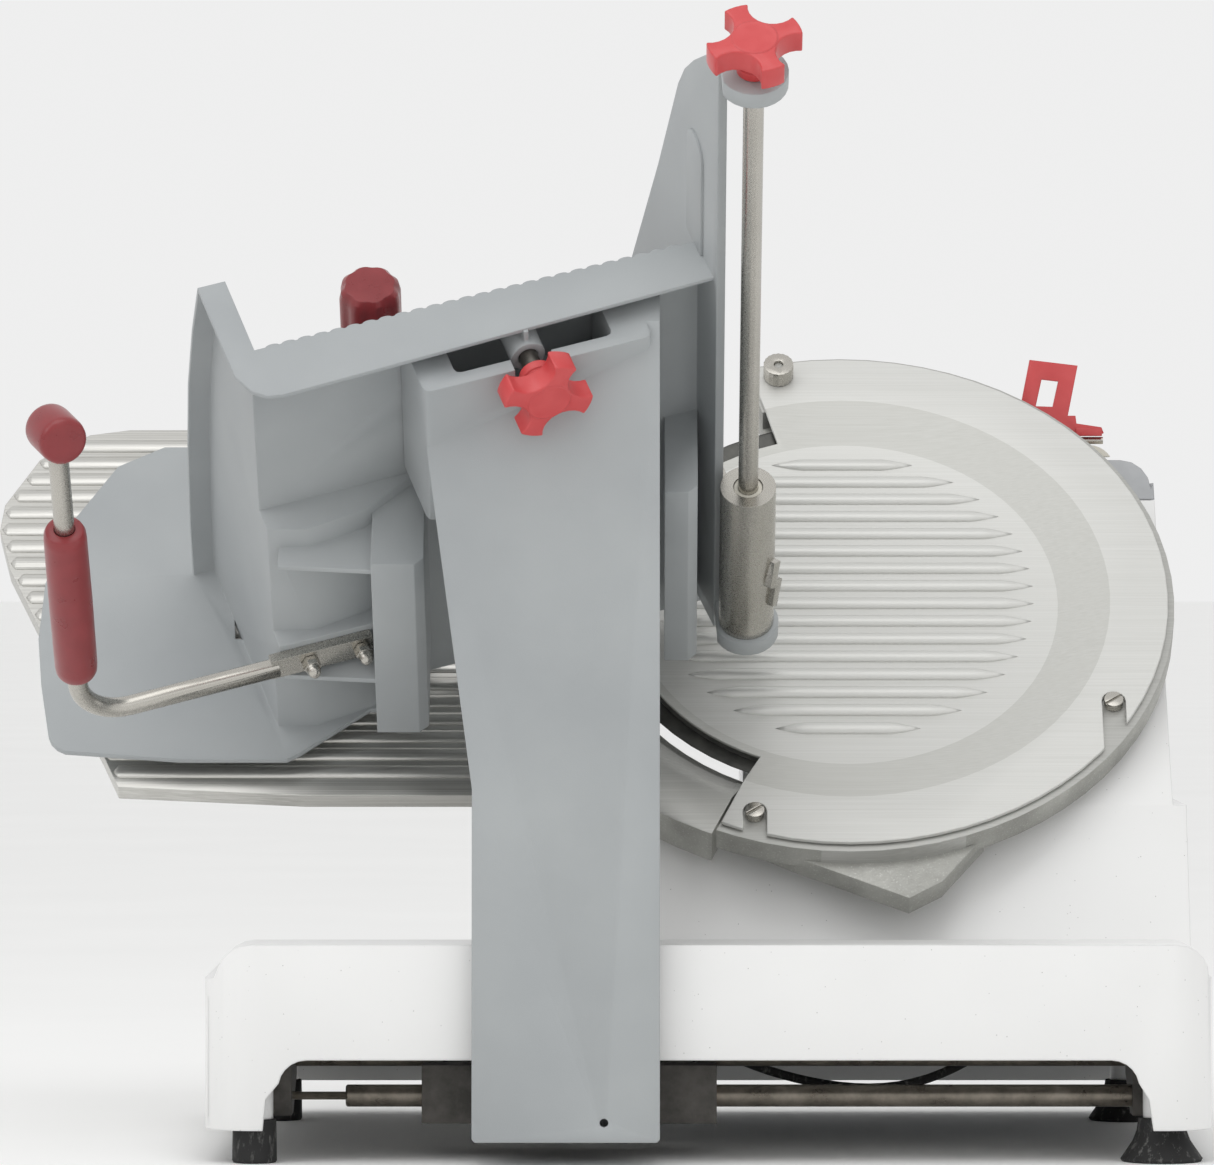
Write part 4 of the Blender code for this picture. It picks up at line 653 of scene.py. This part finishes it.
# ---- Pusher handle ------------------------------------------------------------------------
def fluted_handle():
    """Turned grip with wide shallow flutes and a domed end."""
    low, high, radius, flutes, steps = 0.0983, 0.207, 0.0210, 8, 96
    place = TRAY @ Matrix.Translation((ROD_IN_TRAY.x - 0.1865, ROD_IN_TRAY.y + 0.2266, 0))
    levels = [
        (low, 0.90), (low + 0.003, 1.0), (high - 0.010, 1.0), (high - 0.004, 0.94), (high - 0.001, 0.80),
    ]
    profile = [(0, low), *[(radius * share, level) for level, share in levels], (0, high)]
    bm = turned(profile, Matrix(), steps)
    for vert in bm.verts:
        away = vert.co.xy.length
        if away > 1e-4:
            angle = math.atan2(vert.co.y, vert.co.x)
            groove = abs(math.sin(angle * flutes / 2)) ** 3
            vert.co.xy *= 1 - 0.075 * groove * min(1, away / radius)
    bm.transform(place)
    finish_piece("fluted_handle", bm, "burgundy", BODY_OF["pusher_handle"], ("pusher_handle",))


fluted_handle()


# ---- Ribs and flutes ----------------------------------------------------------------------
def cover_ribs():
    """Low pointed ribs across the dished middle of the cover, which keep food from sticking."""
    count, pitch, reach, level, centre = 16, 0.01589, 0.1290, -0.0082, 0.0062
    ribs = []
    for at in range(count):
        aside = (at - (count - 1) / 2) * pitch
        half = math.sqrt(reach ** 2 - aside ** 2)
        here = KNIFE @ Matrix.Translation((0, centre + aside, level))
        ribs.append(spindle(-half, half, 0.0049, 0.0034, 0.022, here))
    finish_piece("cover_ribs", joined(ribs), "satin_aluminium", BODY_OF["knife_cover_plate"], (), 50)


cover_ribs()


def gauge_flutes():
    """Straight flutes along the gauge plate, cut off by its outline."""
    left_edge = [
        (-0.163, -0.4844), (-0.137, -0.4949), (0.030, -0.5669), (0.0664, -0.5758),
        (0.0894, -0.5737), (0.1314, -0.5521), (0.1548, -0.5188), (0.1596, -0.4914),
    ]
    count, pitch, first, level = 20, 0.01547, -0.1500, -0.0090
    knife_side, straight_side = 0.1720, -0.2050
    ridges = []
    for at in range(count):
        tilt_y = first + at * pitch
        for (low, low_x), (high, high_x) in zip(left_edge, left_edge[1:]):
            if low <= tilt_y <= high:
                left = low_x + (high_x - low_x) * (tilt_y - low) / (high - low)
        right = straight_side
        if tilt_y > -0.09:
            right = -math.sqrt(max(knife_side ** 2 - tilt_y ** 2, 0.01))
        here = KNIFE @ Matrix.Translation((0, tilt_y, level))
        ridges.append(spindle(left + 0.0015, right - 0.002, 0.0056, 0.0022, 0.004, here))
    finish_piece("gauge_flutes", joined(ridges), "brushed_gauge", BODY_OF["gauge_plate"], (), 50)


gauge_flutes()


def tray_ribs():
    """Rounded ribs down the tray's floor, towards the knife."""
    pitch, first, last, length = 0.0107, 0.0120, 0.284, 0.3495
    along = Matrix.Rotation(-math.pi / 2, 4, "Y")
    ribs = []
    for at in range(int((last - first) / pitch) + 1):
        here = TRAY @ Matrix.Translation((first + at * pitch, 0.0002, 0)) @ along @ TO_UNDERSIDE
        ribs.append(spindle(0.010, length, 0.0047, 0.0022, 0.0006, here))
    finish_piece("tray_floor_ribs", joined(ribs), "grey_casting", BODY_OF["carriage_tray"], (), 50)


tray_ribs()


# ---- Floor --------------------------------------------------------------------------------
def studio_floor():
    """A pale flat sheet that the machine stands on."""
    bm = bmesh.new()
    bmesh.ops.create_grid(bm, x_segments=2, y_segments=2, size=50)
    mesh = bpy.data.meshes.new("studio_floor")
    bm.to_mesh(mesh)
    bm.free()
    floor = bpy.data.objects.new("studio_floor", mesh)
    scene.collection.objects.link(floor)
    sheet, tree, shader, place = surface("white_paper", "F7F7F6", 0.85)
    cloud = spread(tree, noise(tree, place, 3.0, 2.0), 0.3, 0.7)
    tree.links.new(blend(tree, cloud, "F6F6F5", "F8F8F7"), shader.inputs["Base Color"])
    mesh.materials.append(sheet)


studio_floor()
